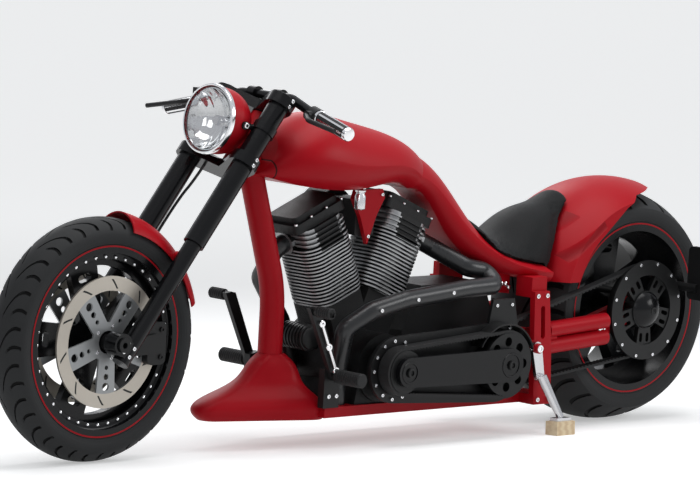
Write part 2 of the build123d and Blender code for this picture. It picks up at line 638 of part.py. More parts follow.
def rear_frame():
    outline = ((-13, 74), (45, 74), (43, 36), (37, -80))
    post = [(SWING_X + x, REAR_TYRE_R + z) for x, z in outline]
    post += [(SWING_X + 27, BELLY_Z), (SWING_X - 41, BELLY_Z), (SWING_X - 31, REAR_TYRE_R - 80), (SWING_X - 17, REAR_TYRE_R + 36)]
    post = polygon(*post) + Pos(STAND_X, STAND_Z) * Circle(20)
    post -= Pos(SWING_X + 7, REAR_TYRE_R - 12) * Rot(0, 0, 86) * SlotOverall(92, 16)
    posts = []
    arms = cross_rod(SWING_X, SWING_Z, -POST_Y, POST_Y, 26)
    boss_x = REAR_RIM_IN - 51
    boss_z = REAR_TYRE_R - 47
    low = polygon((SWING_X + 27, BELLY_Z), (SWING_X - 41, BELLY_Z), (SWING_X - 39, BELLY_TOP), (SWING_X + 28, BELLY_TOP))
    high = polygon(*[(SWING_X + x, REAR_TYRE_R + z) for x, z in ((-13, 56), (45, 56), (45, 112), (-13, 112))])
    shelf = polygon((SWING_X - 73, SWING_Z - 32), (SWING_X + 19, SWING_Z - 28), (SWING_X + 19, SWING_Z + 28), (SWING_X - 73, SWING_Z + 40))
    for hand in (-1, 1):
        solid = slab(post, hand * POST_Y, hand * POST_OUT)
        solid += slab(low, hand * BELLY_HALF, hand * (POST_Y + 5))
        solid += biggest(slab(high, hand * (SEAT_BASE_HALF - 30), hand * (POST_Y + 5)) - PARTS["seat_base"])
        if hand > 0:
            solid += cross_rod(STAND_X, STAND_Z, POST_OUT, POST_OUT + 5, STAND_PIN_R + 8)
            solid += cross_rod(STAND_X, STAND_Z, POST_OUT, POST_OUT + 26, STAND_PIN_R)
            solid += cross_rod(STAND_X, STAND_Z, POST_OUT + 18, POST_OUT + 26, STAND_PIN_R + 6)
        posts.append(solid)
        y = hand * ARM_Y
        for lift in (23, -23):
            arms += rod((SWING_X - 39, y, SWING_Z + lift), (boss_x - 14, y, boss_z + lift), ARM_R)
        arms += slab(shelf, hand * (REAR_TYRE_HALF + 2), hand * (POST_Y - 2))
        plate = hull((0, REAR_TYRE_R, 36), (boss_x, boss_z, 36))
        arms += slab(plate, hand * ARM_PLATE_IN, hand * ARM_PLATE_OUT)
        arms += slab(Pos(boss_x, boss_z) * Circle(36), hand * (ARM_PLATE_OUT - 1), hand * ARM_Y)
    PARTS["frame_posts"] = Compound(posts)
    PARTS["swingarm"] = arms - cross_rod(0, REAR_TYRE_R, -2 * POST_Y, 2 * POST_Y, REAR_AXLE_R + RUN_CLEAR)
    caliper = Pos(REAR_DISC_R - 50, REAR_TYRE_R - 94) * RectangleRounded(64, 96, 14)
    caliper = slab(caliper, -ARM_PLATE_OUT, -REAR_HUB_HALF + 14)
    caliper -= turned(band(0, REAR_DISC_R + 3, -REAR_HUB_HALF - REAR_DISC_T - 1.5, 1.5 - REAR_HUB_HALF), REAR_C)
    PARTS["rear_caliper"] = biggest(caliper - PARTS["swingarm"])


# Engine
def cylinder_plane(sign):
    t = math.radians(V_HALF) * sign
    return Plane(origin=(CRANK_X, 0, CRANK_Z), x_dir=(math.cos(t), 0, -math.sin(t)), z_dir=(math.sin(t), 0, math.cos(t)))


def upright(plane, x, y, up, shape):
    return plane * Pos(x, y, up) * shape


def engine():
    v_slope = SIN_V / COS_V
    barrels = []
    rockers = []
    rods = []
    case = cross_rod(CRANK_X, CRANK_Z, -118, FINAL_Y - 5, CASE_R)
    case += cross_rod(CRANK_X, CRANK_Z, FINAL_Y - 5, PRIMARY_Y, 60)
    cam = hull((CRANK_X, CRANK_Z, CASE_R - 4), (CRANK_X - 20, CRANK_Z + 110, 34), (CRANK_X + 76, CRANK_Z + 8, 58))
    case += slab(cam, -138, -118)
    case += slab(hull((CRANK_X, CRANK_Z, CASE_R - 30), (CRANK_X + 66, CRANK_Z + 8, 34)), -146, -138)
    sump = polygon((CRANK_X - 120, BELLY_TOP), (CRANK_X + 90, BELLY_TOP), (CRANK_X + 70, CRANK_Z), (CRANK_X - 90, CRANK_Z))
    case += slab(sump, -110, 140)
    for sign, port_y in ((-1, 20), (1, -20)):
        plane = cylinder_plane(sign)
        case += upright(plane, 0, 0, 60, Box(126, 128, BARREL_BASE - 60, align=STAND_UP))
        case += upright(plane, 0, -88, 70, Box(70, 34, BARREL_BASE - 90, align=STAND_UP))
        barrel = upright(plane, 0, 0, BARREL_BASE, Cylinder(BARREL_R, FINS_TOP - BARREL_BASE, align=STAND_UP))
        for i in range(FIN_COUNT):
            up = BARREL_BASE + i * FIN_PITCH + 3
            length = min(FIN_LENGTH, 2 * (up * v_slope - 3))
            barrel += extrude(upright(plane, 0, 0, up, RectangleRounded(length, FIN_WIDTH, FIN_CORNER)), amount=FIN_T)
        barrel += extrude(upright(plane, 0, -12, FINS_TOP, RectangleRounded(2 * HEAD_HALF, 156, 30)), amount=HEAD_T)
        for i in range(3):
            fin = RectangleRounded(2 * HEAD_HALF + 14, 168, 34)
            barrel += extrude(upright(plane, 0, -10, FINS_TOP + 7 + i * HEAD_T / 3.6, fin), amount=FIN_T)
        boss = [tuple(plane.from_local_coords((sign * reach, port_y, FINS_TOP + PORT_UP))) for reach in (HEAD_HALF - 10, HEAD_HALF + PORT_BOSS)]
        barrels.append(barrel + rod(*boss, PIPE_R + 8))
        lid = 0.6 * ROCKER_T
        box = extrude(upright(plane, 0, -10, HEAD_TOP, RectangleRounded(ROCKER_LENGTH, ROCKER_WIDTH, 14)), amount=lid)
        lid_face = RectangleRounded(ROCKER_LENGTH - 22, ROCKER_WIDTH - 22, 14)
        rockers.append(box + extrude(upright(plane, 0, -10, HEAD_TOP + lid, lid_face), amount=ROCKER_T - lid))
        for shift in (-20, 20):
            rods.append(upright(plane, shift, -84, BARREL_BASE - 20, Cylinder(8, FINS_TOP - BARREL_BASE + 20, align=STAND_UP)))
    PARTS["crankcase"] = case
    PARTS["cylinders"] = Compound(barrels)
    PARTS["rocker_boxes"] = Compound(rockers)
    PARTS["pushrod_tubes"] = Compound(rods)
    intake_z = CRANK_Z + FINS_TOP + 24
    PARTS["air_cleaner"] = Pos(CRANK_X, -8, intake_z) * Box(70, 116, 96) + cross_rod(CRANK_X, intake_z, -142, -66, 66)
    cover = ((50, 76), (-50, 76), (-58, 52), (-30, 4), (0, -72), (30, 4), (58, 52))
    PARTS["valley_cover"] = slab(polygon(*[(CRANK_X + x, intake_z + z) for x, z in cover]), 50, 64)
    # one pipe leaves the back of the rear head, folds round and runs forward, the other drops from the front head
    routes = []
    for sign, y, reach in ((-1, 20, 145), (1, -20, 118)):
        plane = cylinder_plane(sign)
        ends = [(sign * distance, y, FINS_TOP + PORT_UP) for distance in (HEAD_HALF + PORT_BOSS, reach)]
        routes.append([tuple(plane.from_local_coords(end)) for end in ends])
    foot_x = CRANK_X + 124
    out_y = BELLY_HALF + 16
    fold = ((40, 108, 251), (-18, 118, 241), (-20, out_y - 2, 207), (100, out_y, 203))
    run = ((-55, out_y, 183), (65, out_y - 2, 159), (140, out_y - 24, 111), (124, out_y - 62, -5))
    routes[0] += [(CLUTCH_X + x, y, CRANK_Z + z) for x, y, z in fold] + [(CRANK_X + x, y, CRANK_Z + z) for x, y, z in run]
    routes[0].append((foot_x, out_y - 62, BELLY_TOP))
    drop = ((243, -90, 225), (156, -92, 105), (124, -88, -5))
    routes[1] += [(CRANK_X + x, y, CRANK_Z + z) for x, y, z in drop] + [(foot_x, -88, BELLY_TOP)]
    PARTS["exhaust"] = Compound([pipe(route, PIPE_R, 26) for route in routes])


def drive():
    plate = hull((CRANK_X, CRANK_Z, PRIMARY_FRONT_R + 32), (CLUTCH_X, CLUTCH_Z, PRIMARY_REAR_R + 24))
    tab = ((-80, 85), (40, 85), (22, 173), (-60, 173))
    plate += polygon(*[(CLUTCH_X + x, CLUTCH_Z + z) for x, z in tab])
    PARTS["primary_plate"] = slab(plate, PRIMARY_Y, PRIMARY_Y + PRIMARY_PLATE_T)
    front = (CRANK_X, CRANK_Z, PRIMARY_FRONT_R)
    rear = (CLUTCH_X, CLUTCH_Z, PRIMARY_REAR_R)
    grown = [(x, z, radius + PRIMARY_BELT_T) for x, z, radius in (front, rear)]
    PARTS["primary_belt"] = slab(hull(*grown) - hull(front, rear), PRIMARY_BELT_Y, PRIMARY_OUT)
    face_y = PRIMARY_OUT + 2
    crank = cross_rod(CRANK_X, CRANK_Z, PRIMARY_Y + PRIMARY_PLATE_T, face_y, PRIMARY_FRONT_R)
    clutch = cross_rod(CLUTCH_X, CLUTCH_Z, PRIMARY_Y + PRIMARY_PLATE_T, face_y, PRIMARY_REAR_R)
    hole = cross_rod(CLUTCH_X, CLUTCH_Z + 0.72 * PRIMARY_REAR_R, face_y - 18, face_y + 10, 13)
    for cut in around(hole, (CLUTCH_X, 0, CLUTCH_Z), 8):
        clutch -= cut
    PARTS["primary_pulleys"] = Compound([crank, clutch])
    PARTS["primary_brace"] = slab(hull((CRANK_X, CRANK_Z, 40), (CLUTCH_X, CLUTCH_Z, 46)), face_y, face_y + BRACE_T)
    # gearbox below, oil tank above, both between the clutch and the rear cylinder
    outline = [(CLUTCH_X - 88, BELLY_TOP), (CRANK_X - 135, BELLY_TOP), (CRANK_X - 135, CRANK_Z + 85), (CRANK_X - 200, CRANK_Z + 205),
               (CLUTCH_X - 56, CRANK_Z + 205), (CLUTCH_X - 88, CRANK_Z + 130)]
    box = slab(polygon(*outline), -80, 80)
    box += slab(hull((CLUTCH_X, CLUTCH_Z, 70), (CLUTCH_X + 130, CLUTCH_Z - 10, 70)), -112, 112)
    box += cross_rod(CLUTCH_X, CLUTCH_Z, 100, PRIMARY_Y, 40)
    box += cross_rod(CLUTCH_X, CLUTCH_Z, FINAL_Y - 2, FINAL_OUT + 2, FINAL_FRONT_R)
    PARTS["gearbox"] = box
    gap = RUN_CLEAR + 0.2
    small = (CLUTCH_X, CLUTCH_Z, FINAL_FRONT_R)
    large = (0, REAR_TYRE_R, FINAL_REAR_R + gap)
    grown = [(x, z, radius + FINAL_BELT_T) for x, z, radius in (small, large)]
    PARTS["final_belt"] = slab(hull(*grown) - hull(small, large), FINAL_Y, FINAL_OUT)


def controls():
    solids = []
    foot = ((221, 0), (165, 0), (165, 82), (187, 114), (221, 106))
    foot = polygon(*[(CRANK_X + x, BELLY_TOP + z) for x, z in foot])
    swing = ((205, -19), (183, -1), (265, 177), (301, 177))
    swing = polygon(*[(CRANK_X + x, CRANK_Z + z) for x, z in swing])
    rest = BELLY_HALF + 8
    for hand in (-1, 1):
        plate = slab(foot, hand * (BELLY_HALF - 14), hand * rest)
        arm = slab(swing, hand * rest, hand * (rest + 14))
        peg = cross_rod(CRANK_X + 193, CRANK_Z - 9, hand * rest, hand * (rest + 112), 15)
        toe = cross_rod(CRANK_X + 281, CRANK_Z + 169, hand * rest, hand * (rest + 78), 11)
        solids.append(biggest(plate + arm + peg + toe - PARTS["belly_pan"]))
    PARTS["foot_controls"] = Compound(solids)
    carrier_x = -150
    arm = slab(hull((0, REAR_TYRE_R, 30), (carrier_x, REAR_TYRE_R + 60, 18)), ARM_PLATE_IN, ARM_PLATE_OUT)
    arm += cross_rod(carrier_x, REAR_TYRE_R + 60, ARM_PLATE_IN, PLATE_Y + 40, 12)
    arm -= cross_rod(0, REAR_TYRE_R, 0, 2 * ARM_PLATE_OUT, 36)
    back = Plane(origin=(carrier_x, PLATE_Y + PLATE_W / 2, REAR_TYRE_R + 102), x_dir=(0, 1, 0), z_dir=(-1, 0, 0))
    arm += extrude(back * RectangleRounded(PLATE_W, PLATE_H, 14), amount=14)
    PARTS["plate_holder"] = arm
    lamp_z = REAR_TYRE_R + 102 + PLATE_H / 2 - 21
    lamp = Plane(origin=(carrier_x - 14, PLATE_Y + PLATE_W / 2, lamp_z), x_dir=(0, 1, 0), z_dir=(-1, 0, 0))
    PARTS["tail_lamp"] = extrude(lamp * RectangleRounded(PLATE_W - 50, 24, 10), amount=14)


def stand():
    floor_z = -LIFT
    block = Pos(FOOT_X, FOOT_Y, floor_z) * Box(BLOCK_L, BLOCK_W, BLOCK_H, align=STAND_UP)
    PARTS["wood_block"] = unlean(block)
    t = math.radians(LEAN)
    foot_z = floor_z + BLOCK_H + RUN_CLEAR
    foot = (FOOT_X, FOOT_Y * math.cos(t) - foot_z * math.sin(t), FOOT_Y * math.sin(t) + foot_z * math.cos(t))
    y0 = POST_OUT + 5.5
    y1 = POST_OUT + 17.5
    knee = (STAND_X - 18, y1 + 4, STAND_Z - 78)
    link = slab(hull((STAND_X, STAND_Z, 18), (knee[0], knee[2], 15)), y0, y1)
    link -= cross_rod(STAND_X, STAND_Z, y0 - 5, y1 + 5, STAND_PIN_R + RUN_CLEAR)
    leg = cone(knee, (foot[0], foot[1], foot[2] + 8), 15, 10)
    pad = unlean(Pos(FOOT_X, FOOT_Y, foot_z) * Box(54, 30, 9, align=STAND_UP))
    PARTS["stand_leg"] = link + leg + pad


# Lean the whole machine and set it over its origin
REAR_CROWN_R = crown_radius(REAR_TYRE_HALF, REAR_CROWN_DROP)
LIFT = REAR_CROWN_R * (1 - math.cos(math.radians(LEAN)))
MID_X = (FRONT_X + FRONT_TYRE_R - REAR_TYRE_R) / 2
MID_Y = (PLATE_Y + PLATE_W - BAR_HALF) / 2 + 22


def settle(shape):
    return Pos(-MID_X, -MID_Y, LIFT) * Rot(-LEAN, 0, 0) * shape


front_wheel()
rear_wheel()
fork()
bars()
headlight()
front_fender()
brake_hose()
bodywork()
rear_frame()
engine()
drive()
controls()
stand()
os.makedirs("parts", exist_ok=True)
for name, shape in PARTS.items():
    export_step(settle(shape), f"parts/{name}.step")
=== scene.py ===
import bpy
import bmesh
import math
from mathutils import Matrix, Vector


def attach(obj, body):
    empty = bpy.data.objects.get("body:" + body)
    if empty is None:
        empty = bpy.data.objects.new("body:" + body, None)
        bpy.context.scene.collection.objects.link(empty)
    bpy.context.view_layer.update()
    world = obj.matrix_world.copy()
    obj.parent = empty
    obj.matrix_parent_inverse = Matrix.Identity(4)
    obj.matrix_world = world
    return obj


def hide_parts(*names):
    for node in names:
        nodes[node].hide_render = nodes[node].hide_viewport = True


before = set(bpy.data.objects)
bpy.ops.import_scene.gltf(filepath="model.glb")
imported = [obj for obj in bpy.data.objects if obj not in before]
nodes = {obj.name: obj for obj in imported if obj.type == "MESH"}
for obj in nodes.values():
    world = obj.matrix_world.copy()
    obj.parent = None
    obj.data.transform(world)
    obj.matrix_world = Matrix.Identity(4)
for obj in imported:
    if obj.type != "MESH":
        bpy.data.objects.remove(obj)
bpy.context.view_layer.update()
stage = bpy.context.scene

# Camera
# A long lens well back from the left front corner, a little above axle height and turned slightly clockwise.
# Its place is given from the floor point under the upright machine's rear axle.
REAR_AXLE_X = -0.94144
CENTRE_Y = -0.040
EYE_FORWARD = 10.6975
EYE_LEFT = 10.1086
EYE_HEIGHT = 1.567
VIEW_TURN = math.radians(43.93)
VIEW_DROP = math.radians(4.21)
VIEW_ROLL = math.radians(1.05)
FOCAL_PX = 5205
PICTURE_PX = 700
FILM_MM = 36
flat_share = math.cos(VIEW_DROP)
ahead = Vector((-math.sin(VIEW_TURN) * flat_share, -math.cos(VIEW_TURN) * flat_share, -math.sin(VIEW_DROP)))
level = Vector((-math.cos(VIEW_TURN), math.sin(VIEW_TURN), 0))
upward = level.cross(ahead)
across = math.cos(VIEW_ROLL) * level + math.sin(VIEW_ROLL) * upward
upward = math.cos(VIEW_ROLL) * upward - math.sin(VIEW_ROLL) * level
lens = bpy.data.cameras.new("lens")
lens.lens = FOCAL_PX * FILM_MM / PICTURE_PX
lens.sensor_width = FILM_MM
lens.clip_end = 100
eye = bpy.data.objects.new("eye", lens)
turn = Matrix((across, upward, -ahead)).transposed().to_4x4()
eye.matrix_world = Matrix.Translation((EYE_FORWARD + REAR_AXLE_X, EYE_LEFT + CENTRE_Y, EYE_HEIGHT)) @ turn
stage.collection.objects.link(eye)
stage.camera = eye
stage.view_settings.view_transform = "Standard"

# Studio
# A wide floor of pale paper under large soft lamps; it runs so far back that it also makes the backdrop.
# To the lens and in reflections the paper shows paler than it is lit, more so far away; the shadow stays.


def reckon(tree, operation, *values):
    # one sum: each value is a number or another node's output
    node = tree.nodes.new("ShaderNodeMath")
    node.operation = operation
    for socket, value in zip(node.inputs, values):
        if isinstance(value, (int, float)):
            socket.default_value = value
        else:
            tree.links.new(value, socket)
    return node.outputs[0]


def mixed(tree, mask, first, second):
    # colour that changes from the first to the second with the mask
    blend = tree.nodes.new("ShaderNodeMix")
    blend.data_type = "RGBA"
    tree.links.new(mask, blend.inputs["Factor"])
    for socket, value in ((blend.inputs[6], first), (blend.inputs[7], second)):
        if isinstance(value, tuple):
            socket.default_value = (*value, 1)
        else:
            tree.links.new(value, socket)
    return blend.outputs[2]


def shown_to_eye(tree):
    # 1 for what the lens, a mirror or a glass shows
    ray = tree.nodes.new("ShaderNodeLightPath")
    through = reckon(tree, "MAXIMUM", ray.outputs["Is Camera Ray"], ray.outputs["Is Transmission Ray"])
    return reckon(tree, "MAXIMUM", through, ray.outputs["Is Glossy Ray"])


PAPER_R = 75
paper_mesh = bpy.data.meshes.new("paper_floor")
sheet = bmesh.new()
bmesh.ops.create_circle(sheet, cap_ends=True, segments=64, radius=PAPER_R)
sheet.to_mesh(paper_mesh)
sheet.free()
paper = bpy.data.objects.new("paper_floor", paper_mesh)
stage.collection.objects.link(paper)
paper_look = bpy.data.materials.new("paper")
paper_look.use_nodes = True
paper_tree = paper_look.node_tree
paper_shader = paper_tree.nodes["Principled BSDF"]
paper_shader.inputs["Base Color"].default_value = (0.84, 0.845, 0.85, 1)
paper_shader.inputs["Roughness"].default_value = 0.95
paper_shader.inputs["Specular IOR Level"].default_value = 0.1
paper_shader.inputs["Emission Strength"].default_value = 1
paper_place = paper_tree.nodes.new("ShaderNodeTexCoord")
reach_out = paper_tree.nodes.new("ShaderNodeVectorMath")
reach_out.operation = "LENGTH"
paper_tree.links.new(paper_place.outputs["Object"], reach_out.inputs[0])
rise = paper_tree.nodes.new("ShaderNodeMapRange")
rise.interpolation_type = "SMOOTHSTEP"
for label, value in (("From Min", 1.2), ("From Max", 9), ("To Min", 0.42), ("To Max", 0.67)):
    rise.inputs[label].default_value = value
paper_tree.links.new(reach_out.outputs["Value"], rise.inputs["Value"])
pale = reckon(paper_tree, "MULTIPLY", rise.outputs["Result"], shown_to_eye(paper_tree))
glow = mixed(paper_tree, pale, (0, 0, 0), (0.98, 0.99, 0.99))
paper_tree.links.new(glow, paper_shader.inputs["Emission Color"])
paper_mesh.materials.append(paper_look)
ROOM_LIGHT = 0.2
BACKDROP_LIGHT = 0.5
world = bpy.data.worlds.new("studio_air")
world.use_nodes = True
air_tree = world.node_tree
air = air_tree.nodes["Background"]
air.inputs["Color"].default_value = (0.93, 0.95, 1.0, 1)
backdrop = reckon(air_tree, "MULTIPLY", shown_to_eye(air_tree), BACKDROP_LIGHT)
air_tree.links.new(reckon(air_tree, "ADD", backdrop, ROOM_LIGHT), air.inputs["Strength"])
stage.world = world
LAMPS = (
    # name, place, aimed at, width, height, watts
    ("overhead", (0.0, 0.3, 3.6), (0, 0, 0.4), 3.6, 2.2, 84),
    ("front_box", (3.6, 1.6, 2.4), (0.3, 0, 0.5), 1.6, 1.6, 16),
    ("left_strip", (-2.6, 3.0, 2.2), (-0.3, 0, 0.4), 2.0, 1.2, 42),
    ("back_box", (-1.2, -3.0, 2.6), (0, 0, 0.6), 3.0, 1.6, 40),
)
for name, place, aim, width, height, watts in LAMPS:
    lamp = bpy.data.lights.new(name, "AREA")
    lamp.shape = "RECTANGLE"
    lamp.size = width
    lamp.size_y = height
    lamp.energy = watts
    holder = bpy.data.objects.new(name, lamp)
    facing = (Vector(aim) - Vector(place)).to_track_quat("-Z", "Y").to_matrix().to_4x4()
    holder.matrix_world = Matrix.Translation(place) @ facing
    stage.collection.objects.link(holder)

# Belly pan, down tube and rear posts
# A steel tube frame: the down tube flares into a shovel chin and a flat pan; two slotted posts stand behind.
# All is welded, filled smooth and sprayed in one satin red; the posts are held by chromed cap screws.


def new_group(name, takes, gives):
    # empty shared effect with its named inputs and outputs
    group = bpy.data.node_groups.new(name, "ShaderNodeTree")
    for label, kind, value in takes:
        group.interface.new_socket(label, in_out="INPUT", socket_type=kind).default_value = value
    for label, kind in gives:
        group.interface.new_socket(label, in_out="OUTPUT", socket_type=kind)
    return group, group.nodes.new("NodeGroupInput"), group.nodes.new("NodeGroupOutput")


def surface_grain():
    # soft mottling of colour and gloss with a fine skin
    takes = (
        ("Color", "NodeSocketColor", (0.5, 0.5, 0.5, 1)),
        ("Mottle", "NodeSocketFloat", 0.1),
        ("Mottle Scale", "NodeSocketFloat", 12),
        ("Roughness", "NodeSocketFloat", 0.4),
        ("Skin Scale", "NodeSocketFloat", 400),
    )
    gives = (("Color", "NodeSocketColor"), ("Roughness", "NodeSocketFloat"), ("Height", "NodeSocketFloat"))
    group, given, put = new_group("surface_grain", takes, gives)
    place = group.nodes.new("ShaderNodeTexCoord")
    cloud = group.nodes.new("ShaderNodeTexNoise")
    cloud.inputs["Detail"].default_value = 4
    skin = group.nodes.new("ShaderNodeTexNoise")
    skin.inputs["Detail"].default_value = 2
    for noise, scale in ((cloud, "Mottle Scale"), (skin, "Skin Scale")):
        group.links.new(place.outputs["Object"], noise.inputs["Vector"])
        group.links.new(given.outputs[scale], noise.inputs["Scale"])
    swing = reckon(group, "SUBTRACT", cloud.outputs["Fac"], 0.5)
    amount = reckon(group, "MULTIPLY", swing, given.outputs["Mottle"])
    tone = group.nodes.new("ShaderNodeHueSaturation")
    group.links.new(reckon(group, "ADD", amount, 1), tone.inputs["Value"])
    group.links.new(given.outputs["Color"], tone.inputs["Color"])
    group.links.new(tone.outputs["Color"], put.inputs["Color"])
    group.links.new(reckon(group, "ADD", amount, given.outputs["Roughness"]), put.inputs["Roughness"])
    group.links.new(skin.outputs["Fac"], put.inputs["Height"])
    return group


GRAIN = surface_grain()


def coated(name, colour, rough, metal=0.0, mottle=0.1, scale=14, skin=500, bump=0.0003, coat=0.0, shine=0.5):
    # one finish: colour, gloss and skin from the shared grain, everything even on the shader itself
    look = bpy.data.materials.new(name)
    look.use_nodes = True
    tree = look.node_tree
    shader = tree.nodes["Principled BSDF"]
    grain = tree.nodes.new("ShaderNodeGroup")
    grain.node_tree = GRAIN
    grain.name = "grain"
    grain.inputs["Color"].default_value = (*colour, 1)
    grain.inputs["Mottle"].default_value = mottle
    grain.inputs["Mottle Scale"].default_value = scale
    grain.inputs["Roughness"].default_value = rough
    grain.inputs["Skin Scale"].default_value = skin
    relief = tree.nodes.new("ShaderNodeBump")
    relief.name = "relief"
    relief.inputs["Distance"].default_value = bump
    relief.inputs["Strength"].default_value = 0.5
    tree.links.new(grain.outputs["Color"], shader.inputs["Base Color"])
    tree.links.new(grain.outputs["Roughness"], shader.inputs["Roughness"])
    tree.links.new(grain.outputs["Height"], relief.inputs["Height"])
    tree.links.new(relief.outputs["Normal"], shader.inputs["Normal"])
    shader.inputs["Metallic"].default_value = metal
    shader.inputs["Coat Weight"].default_value = coat
    shader.inputs["Coat Roughness"].default_value = 0.06
    shader.inputs["Specular IOR Level"].default_value = shine
    return look


def dress(look, *names):
    for name in names:
        nodes[name].data.materials.clear()
        nodes[name].data.materials.append(look)


# places below are on the upright machine in millimetres; this leans them onto the stand
LEAN = math.radians(3)
TYRE_LIFT = 0.00034
under_axle = Matrix.Translation((REAR_AXLE_X, CENTRE_Y, TYRE_LIFT))
LEANED = under_axle @ Matrix.Rotation(-LEAN, 4, "X") @ Matrix.Scale(0.001, 4)


def evenly(count, shift=0):
    # angles shared out round a full turn
    return [2 * math.pi * (i + shift) / count for i in range(count)]


def spun(mesh, outline, origin, axis, steps=20):
    # outline of (radius, height) turned about an axis through origin
    axis = Vector(axis).normalized()
    flank = axis.orthogonal().normalized()
    other = axis.cross(flank)
    spokes = [math.cos(a) * flank + math.sin(a) * other for a in evenly(steps)]
    rings = []
    for radius, height in outline:
        middle = Vector(origin) + axis * height
        if radius == 0:
            rings.append([mesh.verts.new(middle)])
        else:
            rings.append([mesh.verts.new(middle + radius * spoke) for spoke in spokes])
    for low, high in zip(rings, rings[1:]):
        for i in range(steps):
            j = (i + 1) % steps
            corners = (low[i % len(low)], low[j % len(low)], high[j % len(high)], high[i % len(high)])
            corners = list(dict.fromkeys(corners))
            if len(corners) > 2:
                mesh.faces.new(corners).smooth = True


SAME_SPOT = 0.01
CREASE = math.radians(32)


def made(name, mesh, look, body):
    # finishes a drawn piece: leaned, shaded, given its look and set on its body
    bmesh.ops.remove_doubles(mesh, verts=mesh.verts, dist=SAME_SPOT)
    bmesh.ops.recalc_face_normals(mesh, faces=mesh.faces)
    mesh.transform(LEANED)
    data = bpy.data.meshes.new(name)
    mesh.to_mesh(data)
    mesh.free()
    data.set_sharp_from_angle(angle=CREASE)
    data.materials.append(look)
    piece = bpy.data.objects.new(name, data)
    stage.collection.objects.link(piece)
    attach(piece, body)
    return piece


def facing_out(y, hand, spots):
    # places (x, z) on a side face with the way it faces; hand is 1 on the left and -1 on the right
    return [((x, hand * y, z), (0, hand, 0)) for x, z in spots]


def on_both_sides(y, spots):
    return facing_out(y, -1, spots) + facing_out(y, 1, spots)


def screws(name, places, radius, height, look, body):
    # cap screws with a rounded edge and a six-sided recess
    mesh = bmesh.new()
    edge = 0.14 * radius
    head = ((radius, 0), (radius, height - edge), (radius - edge, height), (0.56 * radius, height))
    recess = ((0.58 * radius, 0), (0.54 * radius, -0.5 * height), (0, -0.5 * height))
    for origin, axis in places:
        spun(mesh, head, origin, axis, 14)
        well = Vector(origin) + Vector(axis).normalized() * height
        spun(mesh, recess, well, axis, 6)
    return made(name, mesh, look, body)


def red_coat(name):
    # the sprayed red of every body panel
    return coated(name, (0.42, 0.0035, 0.0105), 0.4, mottle=0.05, shine=0.14)


RED = red_coat("satin_red")
dress(RED, "belly_pan", "down_tube", "frame_posts", "side_panels")
CHROME = coated("bright_chrome", (0.78, 0.78, 0.79), 0.1, metal=1.0, mottle=0.05)
POST_FACE = 206
POST_SPOTS = ((424, 392), (460, 392), (396, 104), (440, 104))
screws("post_screws", on_both_sides(POST_FACE, POST_SPOTS), 6.5, 6, CHROME, "frame")
PANEL_FACE = 110
KNOB_SPOTS = ((526, 424), (510, 417), (494, 417), (482, 407))
knobs = bmesh.new()
for origin, axis in on_both_sides(PANEL_FACE, KNOB_SPOTS):
    spun(knobs, ((7.5, 0), (7.5, 5), (6, 8), (3, 9.5), (0, 10)), origin, axis, 16)
made("panel_knobs", knobs, CHROME, "frame")

# Swingarm
# Twin tubes a side, welded to machined axle plates and a cross tube between the posts.
# It carries the same red, with a bright adjuster screw a side ahead of the axle plates.
dress(RED, "swingarm")
ARM_FACE = 176
ADJUSTER_SPOT = (166, 283)
screws("adjuster_screws", on_both_sides(ARM_FACE, (ADJUSTER_SPOT,)), 13, 6, CHROME, "frame")

# Rear wheel
# A wide rim turned from alloy, blacked, with five slotted spokes and a thin red line on each flange.
# The rear disc is ground steel with shallow grinding rings, bolted to the hub's right side.
REAR_HUB = (0, 330)
GRINDING_WAVES = 5200
SLOT_SLANT = 9


def along_axis(tree, place, axis):
    # how far a place lies along an axis
    measure = tree.nodes.new("ShaderNodeVectorMath")
    measure.operation = "DOT_PRODUCT"
    measure.inputs[1].default_value = axis
    tree.links.new(place, measure.inputs[0])
    return measure.outputs["Value"]


def wheel_polar():
    # turns round the axle, distance from it and distance across, for a leaned wheel about a given centre
    takes = (("Centre", "NodeSocketVector", (0, 0, 0)),)
    gives = (("Turns", "NodeSocketFloat"), ("Radius", "NodeSocketFloat"), ("Across", "NodeSocketFloat"))
    group, given, put = new_group("wheel_polar", takes, gives)
    place = group.nodes.new("ShaderNodeTexCoord")
    offset = group.nodes.new("ShaderNodeVectorMath")
    offset.operation = "SUBTRACT"
    group.links.new(place.outputs["Object"], offset.inputs[0])
    group.links.new(given.outputs["Centre"], offset.inputs[1])
    from_hub = offset.outputs["Vector"]
    forward = along_axis(group, from_hub, (1, 0, 0))
    side = along_axis(group, from_hub, (0, math.cos(LEAN), -math.sin(LEAN)))
    up = along_axis(group, from_hub, (0, math.sin(LEAN), math.cos(LEAN)))
    turns = reckon(group, "DIVIDE", reckon(group, "ARCTAN2", up, forward), 2 * math.pi)
    squares = [reckon(group, "MULTIPLY", part, part) for part in (forward, up)]
    group.links.new(turns, put.inputs["Turns"])
    group.links.new(reckon(group, "SQRT", reckon(group, "ADD", *squares)), put.inputs["Radius"])
    group.links.new(side, put.inputs["Across"])
    return group


POLAR = wheel_polar()


def polar_of(tree, hub):
    polar = tree.nodes.new("ShaderNodeGroup")
    polar.node_tree = POLAR
    polar.inputs["Centre"].default_value = LEANED @ Vector((hub[0], 0, hub[1]))
    return polar.outputs["Turns"], polar.outputs["Radius"], polar.outputs["Across"]


def between(tree, value, low, high):
    # 1 where the value lies between two marks
    above = reckon(tree, "GREATER_THAN", value, low)
    return reckon(tree, "MULTIPLY", above, reckon(tree, "LESS_THAN", value, high))


def recolour(tree, mask, colour, base=None):
    # another colour where the mask is 1, over the base or the grain's own colour
    if base is None:
        base = tree.nodes["grain"].outputs["Color"]
    tree.links.new(mixed(tree, mask, base, colour), tree.nodes["Principled BSDF"].inputs["Base Color"])


